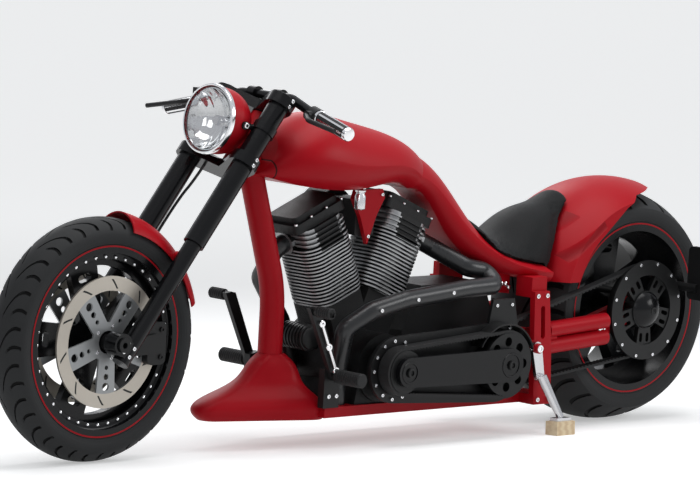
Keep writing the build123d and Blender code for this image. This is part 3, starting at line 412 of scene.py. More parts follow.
def emboss(tree, height, depth=None):
    # another height for the skin, and how deep it goes
    relief = tree.nodes["relief"]
    tree.links.new(height, relief.inputs["Height"])
    if depth:
        relief.inputs["Distance"].default_value = depth


def disc_look(name, hub, ring_from, slots, colour):
    # ground ring with fine rings and short slanted slots, on a duller carrier; the slots carry painted shade
    look = coated(name, colour, 0.4, metal=0.55, mottle=0.06)
    tree = look.node_tree
    turns, radius, _ = polar_of(tree, hub)
    ring = reckon(tree, "GREATER_THAN", radius, ring_from)
    slant = reckon(tree, "MULTIPLY", radius, SLOT_SLANT)
    cell = reckon(tree, "FRACT", reckon(tree, "ADD", reckon(tree, "MULTIPLY", turns, slots), slant))
    slot_reach = between(tree, radius, ring_from + 0.006, ring_from + 0.03)
    slot_shade = reckon(tree, "MULTIPLY", between(tree, cell, 0.0, 0.07), slot_reach)
    worn = mixed(tree, ring, (0.3, 0.31, 0.315), tree.nodes["grain"].outputs["Color"])
    # painted shade: the slots are coloured near-black inside their recess
    recolour(tree, slot_shade, (0.02, 0.02, 0.02), worn)
    ripple = reckon(tree, "SINE", reckon(tree, "MULTIPLY", radius, GRINDING_WAVES))
    ripple = reckon(tree, "MULTIPLY", reckon(tree, "MULTIPLY", ripple, ring), 0.08)
    emboss(tree, reckon(tree, "SUBTRACT", ripple, slot_shade), 0.0012)
    return look


def flange_lines(name, hub, radius, lip, body):
    # thin painted ring on the outer face of both flanges
    mesh = bmesh.new()
    outline = ((radius - 2.2, 0), (radius - 1.6, 0.7), (radius + 1.6, 0.7), (radius + 2.2, 0))
    for origin, axis in on_both_sides(lip, (hub,)):
        spun(mesh, outline, origin, axis, 96)
    return made(name, mesh, RED, body)


GLOSS_BLACK = coated("gloss_black", (0.005, 0.0052, 0.006), 0.2, mottle=0.06, coat=0.02, shine=0.2)
dress(GLOSS_BLACK, "rear_rim")
REAR_STEEL = disc_look("rear_disc_steel", REAR_HUB, ring_from=0.106, slots=14, colour=(0.72, 0.72, 0.70))
dress(REAR_STEEL, "rear_disc")
flange_lines("rear_rim_lines", REAR_HUB, radius=238, lip=139, body="rear_wheel")

# Rear tyre
# A 300-section road tyre: moulded black rubber, its crown cut with long slanted rain grooves.
# The grooves start near the middle, curve round and run out at the shoulder, with shorter ones between them.
GROOVE_SLANT = -2.4
GROOVE_CURL = 1.5
GROOVE_WIDTH = 0.1
SIDEWALL_WAVES = 900


def tyre_look(name, hub, half, crown, pitch):
    # rubber with painted shade down in the grooves, with fine rings round the sidewall
    look = coated(name, (0.036, 0.037, 0.038), 0.62, mottle=0.2, scale=30, skin=420, shine=0.12)
    tree = look.node_tree
    turns, radius, side = polar_of(tree, hub)
    wide = reckon(tree, "DIVIDE", reckon(tree, "ABSOLUTE", side), half)
    left = reckon(tree, "MULTIPLY", reckon(tree, "GREATER_THAN", side, 0), 0.5)
    slant = reckon(tree, "MULTIPLY", wide, GROOVE_SLANT)
    curl = reckon(tree, "MULTIPLY", reckon(tree, "MULTIPLY", wide, wide), GROOVE_CURL)
    bend = reckon(tree, "ADD", reckon(tree, "ADD", slant, curl), left)
    phase = reckon(tree, "ADD", reckon(tree, "MULTIPLY", turns, pitch), bend)
    grooves = []
    for shift, starts, stops in ((0, 0.1, 0.91), (0.5, 0.5, 0.97)):
        cell = reckon(tree, "FRACT", reckon(tree, "ADD", phase, shift))
        groove = between(tree, cell, 0.0, GROOVE_WIDTH)
        grooves.append(reckon(tree, "MULTIPLY", groove, between(tree, wide, starts, stops)))
    on_crown = reckon(tree, "GREATER_THAN", radius, crown)
    groove_shade = reckon(tree, "MULTIPLY", reckon(tree, "MAXIMUM", *grooves), on_crown)
    # painted shade: the grooves are coloured near-black inside the cut
    recolour(tree, groove_shade, (0.003, 0.003, 0.003))
    rib = reckon(tree, "SINE", reckon(tree, "MULTIPLY", radius, SIDEWALL_WAVES))
    rib = reckon(tree, "MULTIPLY", rib, 0.03)
    rib = reckon(tree, "MULTIPLY", rib, reckon(tree, "LESS_THAN", radius, crown))
    grain = reckon(tree, "MULTIPLY", tree.nodes["grain"].outputs["Height"], 0.05)
    emboss(tree, reckon(tree, "ADD", grain, rib), 0.006)
    return look


LONG_FLOOR = (0.012, 0.088)
SHORT_FLOOR = (0.512, 0.588)
TREAD_COLUMNS = (0, *LONG_FLOOR, 0.1, 0.2, 0.3, 0.4, 0.5, *SHORT_FLOOR, 0.6, 0.7, 0.8, 0.9)
TREAD_ROWS = (0.08, 0.15, 0.25, 0.35, 0.45, 0.55, 0.65, 0.75, 0.85, 0.93, 1.0)
HALF_PITCH = len(TREAD_COLUMNS) // 2
LONG_CUT = 5
SHORT_CUT = 3.5
SHOULDER_ROUND = 2
BEAD_STEP = 16
FLANGE_T = 7
FOOT_GAP = 1
SEAT_GAP = 0.3


def groove_depth(column, wide):
    # how deep the tread is cut in one column, at a share of the half width
    if column in LONG_FLOOR and 0.12 < wide < 0.9:
        return LONG_CUT
    if column in SHORT_FLOOR and 0.52 < wide < 0.95:
        return SHORT_CUT
    return 0


def tyre_form(name, node, hub, seat, flange, outer, half, drop, pitch, look, body):
    # moulded tyre whose columns follow the slant of its grooves, with the same bead and crown as the solid
    edge = half - SHOULDER_ROUND
    crown_r = (edge * edge + drop * drop) / (2 * drop)
    shoulder = outer - drop
    foot = flange + FOOT_GAP
    bead = half - BEAD_STEP
    lip = bead + FLANGE_T
    flank = []
    for share in (0.2, 0.4, 0.6, 0.8, 1.0):
        top = edge * (1 - share) * (1 - 2 * share)
        bulge = 4 * half * share * (1 - share)
        low = lip * share * (2 * share - 1)
        flank.append((top + bulge + low, shoulder + (foot - shoulder) * share))
    flank += [(bead, foot), (bead, seat + SEAT_GAP)]
    count = pitch * len(TREAD_COLUMNS)
    columns = [(k + c, c) for k in range(pitch) for c in TREAD_COLUMNS]
    mesh = bmesh.new()

    def row_of(hand, wide, y, r, normal):
        # one ring of the form, cut back along its normal where a groove runs
        shift = 0.5 if hand > 0 else 0
        crown_wide = min(wide, 1)
        bend = crown_wide * (GROOVE_CURL * crown_wide + GROOVE_SLANT)
        ring = []
        for phase, column in columns:
            a = 2 * math.pi * (phase - bend - shift) / pitch
            cut = groove_depth(column, wide)
            radius = r - cut * normal[1]
            side = hand * (y - cut * normal[0])
            spot = (hub[0] + radius * math.cos(a), side, hub[1] + radius * math.sin(a))
            ring.append(mesh.verts.new(spot))
        return ring

    ridge = row_of(-1, 0, 0, outer, (0, 1))
    ends = []
    for hand in (-1, 1):
        turned = HALF_PITCH if hand > 0 else 0
        rows = [[ridge[(j - turned) % count] for j in range(count)]]
        for wide in TREAD_ROWS:
            y = wide * edge
            rise = math.sqrt(crown_r * crown_r - y * y)
            rows.append(row_of(hand, wide, y, outer - crown_r + rise, (y / crown_r, rise / crown_r)))
        rows += [row_of(hand, 1.5, y, r, (1, 0)) for y, r in flank]
        for low, high in zip(rows, rows[1:]):
            for i in range(count):
                j = (i + 1) % count
                mesh.faces.new((low[i], low[j], high[j], high[i])).smooth = True
        ends.append(rows[-1])
    right_end, left_end = ends
    for i in range(count):
        j = (i + 1) % count
        k = (i + HALF_PITCH) % count
        m = (j + HALF_PITCH) % count
        mesh.faces.new((right_end[i], right_end[j], left_end[m], left_end[k])).smooth = True
    piece = made(name, mesh, look, body)
    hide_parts(node)
    return piece


REAR_GROOVES = 13
REAR_RUBBER = tyre_look("rear_tread", REAR_HUB, half=0.146, crown=0.280, pitch=REAR_GROOVES)
tyre_form("rear_road_tyre", "rear_tyre", REAR_HUB, seat=229, flange=243, outer=330, half=148, drop=48,
          pitch=REAR_GROOVES, look=REAR_RUBBER, body="rear_wheel")

# Rear axle, final belt and pulley
# A live axle with a black domed cap, and a blacked steel pulley held by a ring of twelve bright bolts.
# The belt is rubber over cords, with moulded teeth on its inner face.
dress(GLOSS_BLACK, "rear_axle")
SATIN_BLACK = coated("satin_black", (0.0085, 0.0087, 0.009), 0.4, mottle=0.15, shine=0.24)
dress(SATIN_BLACK, "rear_pulley", "rear_caliper")
PULLEY_FACE = 190
PULLEY_CIRCLE = 132
MAIN_SHAFT = (600, 215)


def ring_spots(hub, radius, angles):
    # places (x, z) round a hub
    return [(hub[0] + radius * math.cos(a), hub[1] + radius * math.sin(a)) for a in angles]


pulley_bolts = facing_out(PULLEY_FACE, 1, ring_spots(REAR_HUB, PULLEY_CIRCLE, evenly(12, 0.5)))
screws("pulley_bolts", pulley_bolts, 4.6, 4, CHROME, "rear_wheel")
cap_ring = bmesh.new()
cap_outline = ((7, 27.5), (7, 30.4), (10.5, 30.4), (10.5, 26.5))
spun(cap_ring, cap_outline, (REAR_HUB[0], PULLEY_FACE, REAR_HUB[1]), (0, 1, 0), 24)
made("axle_cap_ring", cap_ring, SATIN_BLACK, "rear_wheel")
BELT_RUBBER = coated("belt_rubber", (0.010, 0.010, 0.0105), 0.62, mottle=0.25, scale=60, skin=700,
                     bump=0.0005, shine=0.3)


def block(mesh, middle, u, v, w):
    # slim bar from its three half edges
    corners = {}
    for i in (-1, 1):
        for j in (-1, 1):
            for k in (-1, 1):
                spot = Vector(middle) + i * Vector(u) + j * Vector(v) + k * Vector(w)
                corners[i, j, k] = mesh.verts.new(spot)
    for i in (-1, 1):
        mesh.faces.new([corners[i, -1, -1], corners[i, 1, -1], corners[i, 1, 1], corners[i, -1, 1]])
        mesh.faces.new([corners[-1, i, -1], corners[1, i, -1], corners[1, i, 1], corners[-1, i, 1]])
        mesh.faces.new([corners[-1, -1, i], corners[1, -1, i], corners[1, 1, i], corners[-1, 1, i]])


def belt_teeth(name, small, large, y0, y1, pitch, deep, body):
    # blocks along the inner face of a belt round two pulleys given as (x, z, radius)
    (xa, za, ra), (xb, zb, rb) = small, large
    span = math.hypot(xb - xa, zb - za)
    face = math.atan2(zb - za, xb - xa)
    tip = math.acos((ra - rb) / span)
    middle = (y0 + y1) / 2
    mesh = bmesh.new()
    for sign in (1, -1):
        out = Vector((math.cos(face + sign * tip), math.sin(face + sign * tip)))
        start = Vector((xa, za)) + ra * out
        end = Vector((xb, zb)) + rb * out
        count = int((end - start).length / pitch)
        along = (end - start).normalized()
        for i in range(count):
            spot = start + along * pitch * (i + 0.5) - out * deep * 0.5
            block(mesh, (spot.x, middle, spot.y), (along.x * pitch * 0.27, 0, along.y * pitch * 0.27),
                  (0, (y1 - y0) / 2 - 0.3, 0), (out.x * deep * 0.5, 0, out.y * deep * 0.5))
    return made(name, mesh, BELT_RUBBER, body)


dress(BELT_RUBBER, "final_belt")
belt_teeth("final_belt_teeth", (*MAIN_SHAFT, 78), (*REAR_HUB, 122.5), y0=155, y1=181, pitch=14, deep=3,
           body="frame")

# Crankcase and gearbox
# Cast alloy cases with a fine black wrinkle coat, split on the centre line and closed by covers on the right.
# Cap screws run round each cover, and a ribbed black oil filter is screwed on at the front.
WRINKLE = coated("wrinkle_black", (0.0085, 0.0087, 0.009), 0.45, mottle=0.2, scale=40, skin=900,
                 bump=0.0012, shine=0.22)
dress(WRINKLE, "crankcase", "gearbox")
CRANK = (985, 215)
CAM_COVER_FACE = 138
CAM_COVER_CIRCLE = 78
BOX_COVER_FACE = 112
BOX_COVER_SPOTS = ((540, 170), (540, 260), (660, 278), (780, 262), (790, 160), (660, 148))
cover_screws = facing_out(CAM_COVER_FACE, -1, ring_spots(CRANK, CAM_COVER_CIRCLE, evenly(10)))
cover_screws += facing_out(BOX_COVER_FACE, -1, BOX_COVER_SPOTS)
screws("cover_screws", cover_screws, 5.5, 6, CHROME, "frame")
FILTER_RIBS = 8
FILTER_PITCH = 12
filter_can = bmesh.new()
ribs = [(0, 0), (26, 0), (30, 4)]
for i in range(FILTER_RIBS):
    rib_at = 8 + FILTER_PITCH * i
    ribs += [(36, rib_at), (36, rib_at + 6), (32, rib_at + 7), (32, rib_at + 11)]
ribs += [(30, 106), (18, 110), (0, 110)]
spun(filter_can, ribs, (1168, -44, 292), (0, 1, 0), 28)
spun(filter_can, ((13, 0), (13, 60), (17, 60), (17, 74)), (1098, 4, 262), (0.92, 0, 0.39), 18)
made("oil_filter", filter_can, SATIN_BLACK, "frame")

# Cylinders and heads
# Two finned alloy barrels at 45 degrees under finned heads, coated black, the fin edges cut bright.
# Each head has a round port boss where its exhaust pipe is clamped.
V_TILT = math.radians(22.5)
PORT_HEIGHT = 0.355
PORT_HALF = 0.043


def fin_look():
    # bright on the fins' outer edges, black on their flats and in the middle of each head, over the port
    look = coated("finned_black", (0.0075, 0.0077, 0.008), 0.42, mottle=0.15, skin=800, bump=0.0008,
                  shine=0.25)
    tree = look.node_tree
    place = tree.nodes.new("ShaderNodeTexCoord")
    spot = place.outputs["Object"]
    crank = LEANED @ Vector((CRANK[0], 0, CRANK[1]))
    barrels = []
    for sign in (-1, 1):
        s = math.sin(V_TILT * sign)
        c = math.cos(V_TILT * sign)
        up_barrel = Vector((s, c * math.sin(LEAN), c * math.cos(LEAN)))
        along = Vector((c, -s * math.sin(LEAN), -s * math.cos(LEAN)))
        facing = reckon(tree, "ABSOLUTE", along_axis(tree, place.outputs["Normal"], up_barrel))
        rim = reckon(tree, "LESS_THAN", facing, 0.2)
        up = reckon(tree, "SUBTRACT", along_axis(tree, spot, up_barrel), crank.dot(up_barrel))
        off = reckon(tree, "SUBTRACT", along_axis(tree, spot, along), crank.dot(along))
        outer = reckon(tree, "GREATER_THAN", reckon(tree, "ABSOLUTE", off), PORT_HALF)
        cut = reckon(tree, "MAXIMUM", reckon(tree, "LESS_THAN", up, PORT_HEIGHT), outer)
        barrels.append(reckon(tree, "MULTIPLY", rim, cut))
    split = tree.nodes.new("ShaderNodeSeparateXYZ")
    tree.links.new(spot, split.inputs[0])
    front = reckon(tree, "GREATER_THAN", split.outputs["X"], crank.x)
    chosen = tree.nodes.new("ShaderNodeMix")
    tree.links.new(front, chosen.inputs["Factor"])
    for socket, barrel in zip((chosen.inputs[2], chosen.inputs[3]), barrels):
        tree.links.new(barrel, socket)
    edge = chosen.outputs[0]
    recolour(tree, edge, (0.34, 0.345, 0.35))
    tree.links.new(reckon(tree, "MULTIPLY", edge, 0.85), tree.nodes["Principled BSDF"].inputs["Metallic"])
    return look


dress(fin_look(), "cylinders")
dress(CHROME, "pushrod_tubes")

# Rocker boxes, valley cover and intake
# Two-tier cast covers in black over each head, held by bright screws round the lower tier.
# A red cast plate fills the V on the left, beside a small chromed breather; the air cleaner is on the right.
dress(WRINKLE, "rocker_boxes", "air_cleaner")
dress(RED, "valley_cover")
LOWER_TIER = 447.8


def over_cylinder(sign, x, y, up):
    # place over one cylinder: along the engine, to the left, and up the barrel from the crank
    c = math.cos(V_TILT)
    s = math.sin(V_TILT) * sign
    return (CRANK[0] + x * c + up * s, y, CRANK[1] - x * s + up * c)


rocker_screws = []
for sign in (-1, 1):
    lift = (math.sin(V_TILT) * sign, 0, math.cos(V_TILT))
    for x in (-87, -29, 29, 87):
        for y in (-70, 50):
            rocker_screws.append((over_cylinder(sign, x, y, LOWER_TIER), lift))
screws("rocker_screws", rocker_screws, 4.4, 5, CHROME, "frame")
VALLEY_FACE = 64
VALLEY_SPOTS = ((939, 672), (1031, 672), (985, 560))
screws("valley_screws", facing_out(VALLEY_FACE, 1, VALLEY_SPOTS), 5, 5, CHROME, "frame")
can = bmesh.new()
can_outline = ((0, 0), (13, 0), (15, 3), (15, 36), (12, 42), (12, 46), (15, 48), (15, 52), (6, 56), (0, 57))
spun(can, can_outline, (1034, 79, 636), (0, 0, 1), 22)
spun(can, ((5, 0), (5, 20)), (1034, 62, 656), (0, 1, 0), 12)
made("breather_can", can, CHROME, "frame")

# Primary drive
# An open toothed belt runs from the crank pulley to the clutch basket on a black plate, under a black brace.
# A curved lip guards the clutch; bright bolts ring the plate, and a black one holds each end of the brace.
dress(SATIN_BLACK, "primary_plate", "primary_pulleys")
dress(GLOSS_BLACK, "primary_brace")
dress(BELT_RUBBER, "primary_belt")
belt_teeth("primary_belt_teeth", (*CRANK, 58), (*MAIN_SHAFT, 86), y0=202, y1=240, pitch=11, deep=2.4,
           body="frame")
PLATE_FACE = 198
BRACE_FACE = 258
plate_spots = ring_spots(CRANK, 79, [math.radians(-112 + 28 * i) for i in range(9)])
plate_spots += ring_spots(MAIN_SHAFT, 102, [math.radians(115 + 26 * i) for i in range(6)])
plate_spots += [(552, 372), (610, 372)]
screws("plate_bolts", facing_out(PLATE_FACE, 1, plate_spots), 5, 5, CHROME, "frame")
brace_bolts = facing_out(BRACE_FACE, 1, (CRANK, MAIN_SHAFT))
screws("brace_bolts", brace_bolts, 13, 7, SATIN_BLACK, "frame")
brace_rings = bmesh.new()
for (origin, axis), radius in zip(brace_bolts, (30, 34)):
    spun(brace_rings, ((radius - 6, 0), (radius - 5, 2.2), (radius, 2.2), (radius + 1, 0)), origin, axis, 40)
made("brace_rings", brace_rings, GLOSS_BLACK, "frame")
LIP_STEPS = 28
lip_angles = [math.radians(28 + 130 * i / LIP_STEPS) for i in range(LIP_STEPS + 1)]
lip = bmesh.new()
arcs = []
for radius, y in ((107, PLATE_FACE), (107, 238), (110, 240), (112, 238), (112, PLATE_FACE)):
    arcs.append([lip.verts.new((x, y, z)) for x, z in ring_spots(MAIN_SHAFT, radius, lip_angles)])
for inner, outer in zip(arcs, arcs[1:] + arcs[:1]):
    for i in range(LIP_STEPS):
        lip.faces.new((inner[i], inner[i + 1], outer[i + 1], outer[i])).smooth = True
lip.faces.new([arc[0] for arc in arcs])
lip.faces.new([arc[-1] for arc in arcs])
made("clutch_guard", lip, SATIN_BLACK, "frame")

# Exhaust
# Mild steel pipes in a dull black heat coat: the rear one folds back on itself beside the gearbox.
# Three bright bolts hold the heat shield along its run.
HEAT_BLACK = coated("heat_black", (0.014, 0.0148, 0.016), 0.3, mottle=0.2, scale=24, skin=700,
                    bump=0.0004, shine=0.45)
dress(HEAT_BLACK, "exhaust")
SHIELD_FACE = 190.5
SHIELD_SPOTS = ((1040, 377), (905, 400), (772, 413))
screws("shield_bolts", facing_out(SHIELD_FACE, 1, SHIELD_SPOTS), 5.5, 4, CHROME, "frame")

# Tank, seat base and rear fender
# Hand-beaten steel panels, welded into one line from the headstock to the tail and sprayed in the same red.
# A fine seam near the front of the tank marks the cap that covers the headstock.
SEAM_PLACE = Vector((1354, 0, 790))
SEAM_SLOPE = math.radians(8)
SEAM_HALF = 0.0016


def tank_look():
    look = red_coat("tank_red")
    tree = look.node_tree
    place = tree.nodes.new("ShaderNodeTexCoord")
    slope = Vector((math.cos(SEAM_SLOPE), 0, -math.sin(SEAM_SLOPE)))
    mark = (LEANED @ SEAM_PLACE).dot(slope)
    off = reckon(tree, "SUBTRACT", along_axis(tree, place.outputs["Object"], slope), mark)
    seam = reckon(tree, "LESS_THAN", reckon(tree, "ABSOLUTE", off), SEAM_HALF)
    recolour(tree, seam, (0.05, 0.002, 0.003))
    skin = reckon(tree, "MULTIPLY", tree.nodes["grain"].outputs["Height"], 0.1)
    emboss(tree, reckon(tree, "SUBTRACT", skin, seam), 0.002)
    return look


dress(tank_look(), "fuel_tank")
dress(RED, "seat_base")
FENDER_FLANK = 160
SCOOPS = ((331, 524, 217, 604), (292, 481, 162, 574))
SCOOP_HALF = 0.013


def fender_look():
    # two long scoops pressed into each flank, running back and up from beside the seat, with painted shade in
    # them
    look = red_coat("fender_red")
    tree = look.node_tree
    place = tree.nodes.new("ShaderNodeTexCoord")
    shaded_dents = []
    for x0, z0, x1, z1 in SCOOPS:
        start = LEANED @ Vector((x0, FENDER_FLANK, z0))
        run = (LEANED @ Vector((x1, FENDER_FLANK, z1))) - start
        length = math.hypot(run.x, run.z)
        along = Vector((run.x / length, 0, run.z / length))
        marks = []
        for axis in (along, Vector((-along.z, 0, along.x))):
            distance = along_axis(tree, place.outputs["Object"], axis)
            marks.append(reckon(tree, "SUBTRACT", distance, start.dot(axis)))
        ends = between(tree, marks[0], 0, length)
        near = reckon(tree, "DIVIDE", marks[1], SCOOP_HALF)
        fall = reckon(tree, "SUBTRACT", 1, reckon(tree, "MULTIPLY", near, near))
        shaded_dents.append(reckon(tree, "MULTIPLY", reckon(tree, "MAXIMUM", fall, 0), ends))
    shaded_dent = reckon(tree, "MAXIMUM", *shaded_dents)
    # painted shade: the scoops are coloured a darker red down their middle
    recolour(tree, reckon(tree, "MULTIPLY", shaded_dent, 0.5), (0.12, 0.001, 0.003))
    skin = reckon(tree, "MULTIPLY", tree.nodes["grain"].outputs["Height"], 0.04)
    emboss(tree, reckon(tree, "SUBTRACT", skin, shaded_dent), 0.007)
    return look


dress(fender_look(), "rear_fender")

# Seat
# A low foam pad under black leather, its sides pulled down to the seat base, its back swept up the fender.
# It is stuffed and stretched by a cloth pass, and rests on the base and the fender.
LEATHER = coated("seat_leather", (0.0115, 0.012, 0.0125), 0.5, mottle=0.2, scale=20, skin=330,
                 bump=0.0012, shine=0.1)
hide = LEATHER.node_tree
cells = hide.nodes.new("ShaderNodeTexVoronoi")
cells.inputs["Scale"].default_value = 420
hide_place = hide.nodes.new("ShaderNodeTexCoord")
hide.links.new(hide_place.outputs["Object"], cells.inputs["Vector"])
emboss(hide, reckon(hide, "ADD", cells.outputs["Distance"], hide.nodes["grain"].outputs["Height"]))
SWELL = 0.008
SLACK = 0.005
CELL = 0.005
STUFFING_STEPS = 20


def as_seen(piece):
    # mesh of a piece with its modifiers applied
    return bpy.data.meshes.new_from_object(piece.evaluated_get(bpy.context.evaluated_depsgraph_get()))


seat = bpy.data.objects.new("seat_cushion", nodes["seat_pad"].data.copy())
stage.collection.objects.link(seat)
remesh = seat.modifiers.new("even_cells", "REMESH")
remesh.mode = "VOXEL"
remesh.voxel_size = CELL
seat.data = as_seen(seat)
seat.modifiers.clear()
inset = [vertex.co - vertex.normal * SLACK for vertex in seat.data.vertices]
for vertex, spot in zip(seat.data.vertices, inset):
    vertex.co = spot
stuffing = seat.modifiers.new("stuffing", "CLOTH")
stuffing.settings.use_pressure = True
stuffing.settings.uniform_pressure_force = 4
stuffing.settings.effector_weights.gravity = 0
stuffing.point_cache.frame_end = STUFFING_STEPS
for step in range(1, STUFFING_STEPS + 1):
    stage.frame_set(step)
swollen = as_seen(seat)
seat.modifiers.clear()
for vertex, spot in zip(swollen.vertices, inset):
    move = vertex.co - spot
    if move.length > SWELL:
        vertex.co = spot + move * (SWELL / move.length)
seat.data = swollen
stage.frame_set(1)
smoother = seat.modifiers.new("fine", "SUBSURF")
smoother.levels = 1
smoother.render_levels = 1
seat.data.shade_smooth()
seat.data.materials.clear()
seat.data.materials.append(LEATHER)
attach(seat, "frame")
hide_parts("seat_pad")

# Plate carrier and tail lamp
# A folded steel carrier on the left of the rear axle, blacked, its face bare, with a slim red lamp above.
# The lamp's moulded cover has fine upright ribs.
dress(SATIN_BLACK, "plate_holder")
TAIL_RED = coated("tail_red", (0.36, 0.006, 0.008), 0.14, mottle=0.05, coat=0.4)
tail = TAIL_RED.node_tree
tail_place = tail.nodes.new("ShaderNodeTexCoord")
tail_split = tail.nodes.new("ShaderNodeSeparateXYZ")
tail.links.new(tail_place.outputs["Object"], tail_split.inputs[0])
emboss(tail, reckon(tail, "SINE", reckon(tail, "MULTIPLY", tail_split.outputs["Y"], 1600)))
dress(TAIL_RED, "tail_lamp")

# Fork and clamps
# An upside-down fork: wide black tubes above, slimmer black legs below, held in two V-shaped clamps.
# Bright pinch bolts close each clamp and each axle lug, and dull caps close the tube tops.
dress(GLOSS_BLACK, "fork_tubes", "fork_clamps", "fork_legs")
RAKE = math.radians(38)
UP_FORK = Vector((-math.sin(RAKE), 0, math.cos(RAKE)))
FORE = Vector((math.cos(RAKE), 0, math.sin(RAKE)))
HEAD = Vector((1388, 0, 810.56))
AXLE_DROP = -698.8
CLAMP_SIDE = 142
LUG_SIDE = 123
TUBE_SIDE = 103


def fork_place(up, fore, y):
    # place by the steering head: up the stem, ahead of it and to the left
    return HEAD + UP_FORK * up + FORE * fore + Vector((0, y, 0))


pinch = []
for hand in (-1, 1):
    for up in (-94, -76, 98, 116):
        pinch.append((fork_place(up, 60, hand * CLAMP_SIDE), (0, hand, 0)))
    for up, fore in ((-13, 62), (13, 62), (-13, 86), (13, 86)):
        pinch.append((fork_place(AXLE_DROP + up, fore, hand * LUG_SIDE), (0, hand, 0)))
screws("pinch_bolts", pinch, 5.4, 6, CHROME, "steering")
caps = bmesh.new()
cap_outline = ((27, 0), (27, 4), (24, 7), (16, 7), (15, 4), (8, 4), (7, 9), (0, 9))
for hand in (-1, 1):
    spun(caps, cap_outline, fork_place(122, 58, hand * TUBE_SIDE), UP_FORK, 30)
spun(caps, ((22, 0), (22, 9), (19, 12), (10, 12), (9, 8), (0, 8)), fork_place(130, 0, 0), UP_FORK, 6)
made("tube_caps", caps, SATIN_BLACK, "steering")

# Brake hose
# A black rubber hose from the lower clamp down behind the right fork tube to the caliper.
# It is fixed at both ends and stands a little clear of the tube.
HOSE_RUBBER = coated("hose_rubber", (0.010, 0.010, 0.0105), 0.45, mottle=0.15, scale=80, skin=900,
                     bump=0.0002, shine=0.35)
HOSE_ROUTE = ((1469.0, -62, 762.2), (1484.3, -86, 713.2), (1533.0, -98, 657.4), (1668.5, -96, 484.0),
              (1709.1, -90, 415.8), (1751.9, -78, 395), (1747.9, -76, 361))
hose_line = bpy.data.curves.new("front_brake_hose", "CURVE")
hose_line.dimensions = "3D"
hose_line.bevel_depth = 0.004
hose_line.bevel_resolution = 4
hose_line.use_fill_caps = True
strand = hose_line.splines.new("NURBS")
strand.points.add(len(HOSE_ROUTE) - 1)
for point, mark in zip(strand.points, HOSE_ROUTE):
    point.co = (*(LEANED @ Vector(mark)), 1)
strand.order_u = 3
strand.use_endpoint_u = True
hose_line.materials.append(HOSE_RUBBER)
hose = bpy.data.objects.new("front_brake_hose", hose_line)
stage.collection.objects.link(hose)
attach(hose, "steering")
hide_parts("brake_hose")

# Front wheel
# A cast and turned alloy wheel in black: five slotted spokes, bright rivets and red lines on the flanges.
# Two floating discs sit on drilled carriers held by bright bolts; the axle is blacked.
FRONT_HUB = (1893.88, 319)
dress(GLOSS_BLACK, "front_rim")
FRONT_STEEL = disc_look("front_disc_steel", FRONT_HUB, ring_from=0.134, slots=10, colour=(0.50, 0.46, 0.40))
dress(FRONT_STEEL, "front_discs")
dress(SATIN_BLACK, "front_axle")
flange_lines("front_rim_lines", FRONT_HUB, radius=248, lip=54, body="front_wheel")
rivet_ring = bmesh.new()
ring_outline = ((231, 24), (216, 24), (212, 27), (212, 35), (213, 36.5), (226, 36.5), (231, 39))
for origin, axis in on_both_sides(0, (FRONT_HUB,)):
    spun(rivet_ring, ring_outline, origin, axis, 96)
made("rivet_ring", rivet_ring, GLOSS_BLACK, "front_wheel")
RIVETS = 40
RIVET_FACE = 36
RIVET_CIRCLE = 219
rivets = bmesh.new()
for origin, axis in on_both_sides(RIVET_FACE, ring_spots(FRONT_HUB, RIVET_CIRCLE, evenly(RIVETS))):
    spun(rivets, ((5.2, 0), (5.2, 1.5), (4.2, 4.4), (2, 5.8), (0, 6.2)), origin, axis, 12)
made("rim_rivets", rivets, CHROME, "front_wheel")
CARRIER_FACE = 62
CARRIER_CIRCLE = 43
carrier_bolts = on_both_sides(CARRIER_FACE, ring_spots(FRONT_HUB, CARRIER_CIRCLE, evenly(5, 0.5)))
screws("carrier_bolts", carrier_bolts, 4.6, 4, CHROME, "front_wheel")
FRONT_GROOVES = 20
FRONT_RUBBER = tyre_look("front_tread", FRONT_HUB, half=0.061, crown=0.284, pitch=FRONT_GROOVES)
tyre_form("front_road_tyre", "front_tyre", FRONT_HUB, seat=241, flange=252, outer=319, half=63, drop=31,
          pitch=FRONT_GROOVES, look=FRONT_RUBBER, body="front_wheel")

# Front brakes and fender
# Black cast calipers behind the legs on alloy brackets, and a short red fender that hugs the tyre.
# Each caliper is closed by two dull black bolts.
dress(SATIN_BLACK, "front_calipers")
dress(RED, "front_fender")
CALIPER_FACE = 85
CALIPER_SPOTS = ((1729.9, 347), (1729.9, 275))
caliper_bolts = on_both_sides(CALIPER_FACE, CALIPER_SPOTS)
screws("caliper_bolts", caliper_bolts, 7, 5, SATIN_BLACK, "steering")

# Handlebar, grips and levers
# A narrow swept bar in black with black rubber grips, inlaid with bright strips and closed by bright ends.
# The levers are black forgings on clamped perches.
dress(GLOSS_BLACK, "handlebar")
dress(SATIN_BLACK, "hand_levers")
GRIP_RUBBER = coated("grip_rubber", (0.011, 0.011, 0.0115), 0.6, mottle=0.2, scale=60, skin=800,
                     bump=0.0008, shine=0.3)
dress(GRIP_RUBBER, "grips")
GRIP_STRIPS = 8
strips = bmesh.new()
for hand in (-1, 1):
    inner = Vector((1335.6, hand * 190, 913))
    outer = Vector((1355.6, hand * 346, 875))
    run = (outer - inner).normalized()
    flank = run.orthogonal().normalized()
    other = run.cross(flank)
    for a in evenly(GRIP_STRIPS):
        out = math.cos(a) * flank + math.sin(a) * other
        edge = run.cross(out)
        block(strips, inner + run * 104 + out * 18, run * 56, edge * 2.6, out * 1.1)
    spun(strips, ((16.5, 0), (18.5, 1), (18.5, 8), (16, 12), (8, 14), (0, 14.5)), outer + run * 0.5, run, 24)
    spun(strips, ((12.9, 0), (19, 0), (19.6, 3), (19.6, 8), (18.2, 9)), inner + run * 34, run, 24)
made("grip_trim", strips, CHROME, "steering")

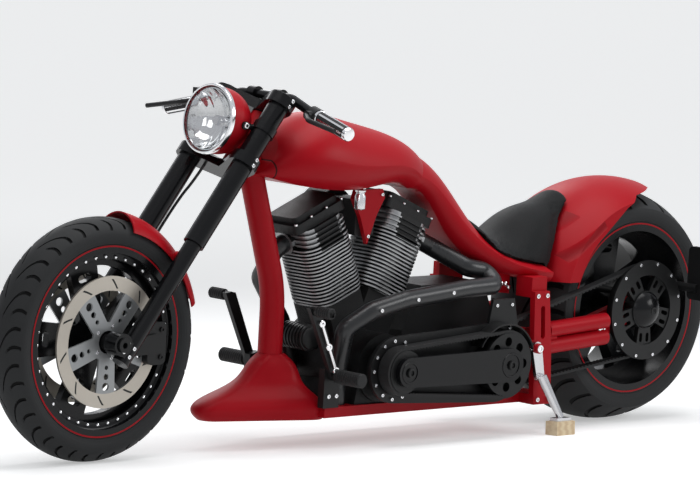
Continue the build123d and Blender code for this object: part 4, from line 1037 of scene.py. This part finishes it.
# Headlight
# A spun steel bowl in red, a clear glass in a thin bright rim, and a pressed reflector with a hooded bulb.
# Black arms from the fork tubes hold it by one bright bolt a side.
dress(RED, "headlight_bowl")
dress(GLOSS_BLACK, "headlight_brackets")
MIRROR = coated("pressed_reflector", (0.86, 0.87, 0.88), 0.08, metal=1.0, mottle=0.04)
mirror = MIRROR.node_tree
flutes = mirror.nodes.new("ShaderNodeTexWave")
flutes.bands_direction = "Y"
flutes.inputs["Scale"].default_value = 12
flute_place = mirror.nodes.new("ShaderNodeTexCoord")
mirror.links.new(flute_place.outputs["Object"], flutes.inputs["Vector"])
emboss(mirror, flutes.outputs["Fac"], 0.0025)
dress(MIRROR, "headlight_reflector")
GLASS = bpy.data.materials.new("clear_glass")
GLASS.use_nodes = True
glass = GLASS.node_tree
glass_shader = glass.nodes["Principled BSDF"]
glass_shader.inputs["Transmission Weight"].default_value = 1.0
glass_shader.inputs["IOR"].default_value = 1.3
glass_place = glass.nodes.new("ShaderNodeTexCoord")
haze = glass.nodes.new("ShaderNodeTexNoise")
haze.inputs["Scale"].default_value = 60
glass.links.new(glass_place.outputs["Object"], haze.inputs["Vector"])
glass.links.new(reckon(glass, "MULTIPLY", haze.outputs["Fac"], 0.05), glass_shader.inputs["Roughness"])
dress(GLASS, "headlight_lens")
LAMP_TILT = math.radians(10)
LAMP_FRONT = Vector((math.cos(LAMP_TILT), 0, math.sin(LAMP_TILT)))
LAMP_CENTRE = fork_place(-27, 152, 0)
LAMP_SIDE = 93
rim = bmesh.new()
rim_outline = ((91.2, -7), (93.4, -6), (94.2, 1), (93, 6.5), (90, 8), (88, 7), (88.4, 5))
spun(rim, rim_outline, LAMP_CENTRE, LAMP_FRONT, 72)
made("lamp_rim", rim, CHROME, "steering")
hood = bmesh.new()
hood_outline = ((0, -22), (12, -24), (14, -30), (14, -48), (12.4, -48), (12.4, -30))
spun(hood, hood_outline, LAMP_CENTRE, LAMP_FRONT, 24)
made("bulb_hood", hood, CHROME, "steering")
lamp_bolts = on_both_sides(LAMP_SIDE, ((LAMP_CENTRE.x - 46, LAMP_CENTRE.z - 10),))
screws("lamp_bolts", lamp_bolts, 8, 6, CHROME, "steering")

# Foot controls
# Forward pegs and pedals: black machined plates on the pan, ribbed rubber sleeves and a bright shift link.
# The sleeves are pushed over the pegs; the link is pinned to the left lever.
dress(SATIN_BLACK, "foot_controls")
PEGS = (
    # forward, height, inner end, length, radius
    (1178, 206, 180, 88, 15),
    (1266, 384, 182, 52, 11),
)
SLEEVE_PITCH = 8
sleeves = bmesh.new()
for hand in (-1, 1):
    for x, z, start, length, radius in PEGS:
        crest = radius + 4.5
        valley = radius + 2.6
        ribbed = [(radius, 0), (radius + 3.5, 1)]
        count = int(length / SLEEVE_PITCH)
        for i in range(count):
            rib_at = SLEEVE_PITCH * i
            ribbed += [(crest, rib_at + 3), (crest, rib_at + 7), (valley, rib_at + 8), (valley, rib_at + 10)]
        sleeve_end = SLEEVE_PITCH * count
        ribbed += [(crest, sleeve_end + 3), (radius + 2, sleeve_end + 6), (0, sleeve_end + 6)]
        spun(sleeves, ribbed, (x, hand * start, z), (0, hand, 0), 22)
made("peg_sleeves", sleeves, GRIP_RUBBER, "frame")
LINK_FOOT = Vector((1186, 172, 222))
LINK_TOP = Vector((1246, 172, 350))
LINK_OUT = Vector((0, 7, 0))
link = bmesh.new()
reach = LINK_TOP - LINK_FOOT
spun(link, ((4, 0), (4, reach.length)), LINK_FOOT + LINK_OUT, reach, 12)
for spot in (LINK_FOOT, LINK_FOOT.lerp(LINK_TOP, 0.5), LINK_TOP):
    spun(link, ((10, 0), (10, 9), (8.5, 11), (4, 11), (4, 8), (0, 8)), spot, (0, 1, 0), 18)
made("shift_link", link, CHROME, "frame")
BRACKET_FACE = 158
BRACKET_SPOTS = ((1162, 190), (1162, 150), (1190, 150))
screws("bracket_bolts", facing_out(BRACKET_FACE, 1, BRACKET_SPOTS), 6, 5, CHROME, "frame")

# Side stand and wood block
# A polished steel leg on a flat link, turning on a bright pin at the left post, parked on a raw pine block.
# The block is sawn end grain up, with soft growth lines.
POLISHED = coated("polished_steel", (0.55, 0.55, 0.56), 0.2, metal=1.0, mottle=0.12, scale=60)
dress(POLISHED, "stand_leg")
PIN_FACE = 232
PIN_SPOT = (466, 250)
screws("stand_pin_cap", facing_out(PIN_FACE, 1, (PIN_SPOT,)), 11, 5, CHROME, "frame")
PINE = coated("raw_pine", (0.90, 0.75, 0.52), 0.68, mottle=0.2, scale=45, skin=700, bump=0.0006, shine=0.3)
pine = PINE.node_tree
pine_place = pine.nodes.new("ShaderNodeTexCoord")
pine_stretch = pine.nodes.new("ShaderNodeMapping")
pine_stretch.inputs["Scale"].default_value = (3, 14, 20)
pine.links.new(pine_place.outputs["Object"], pine_stretch.inputs["Vector"])
growth = pine.nodes.new("ShaderNodeTexWave")
growth.inputs["Scale"].default_value = 4
growth.inputs["Distortion"].default_value = 3
growth.inputs["Detail"].default_value = 3
pine.links.new(pine_stretch.outputs["Vector"], growth.inputs["Vector"])
recolour(pine, reckon(pine, "MULTIPLY", growth.outputs["Fac"], 0.55), (0.62, 0.42, 0.22))
emboss(pine, growth.outputs["Fac"])
dress(PINE, "wood_block")
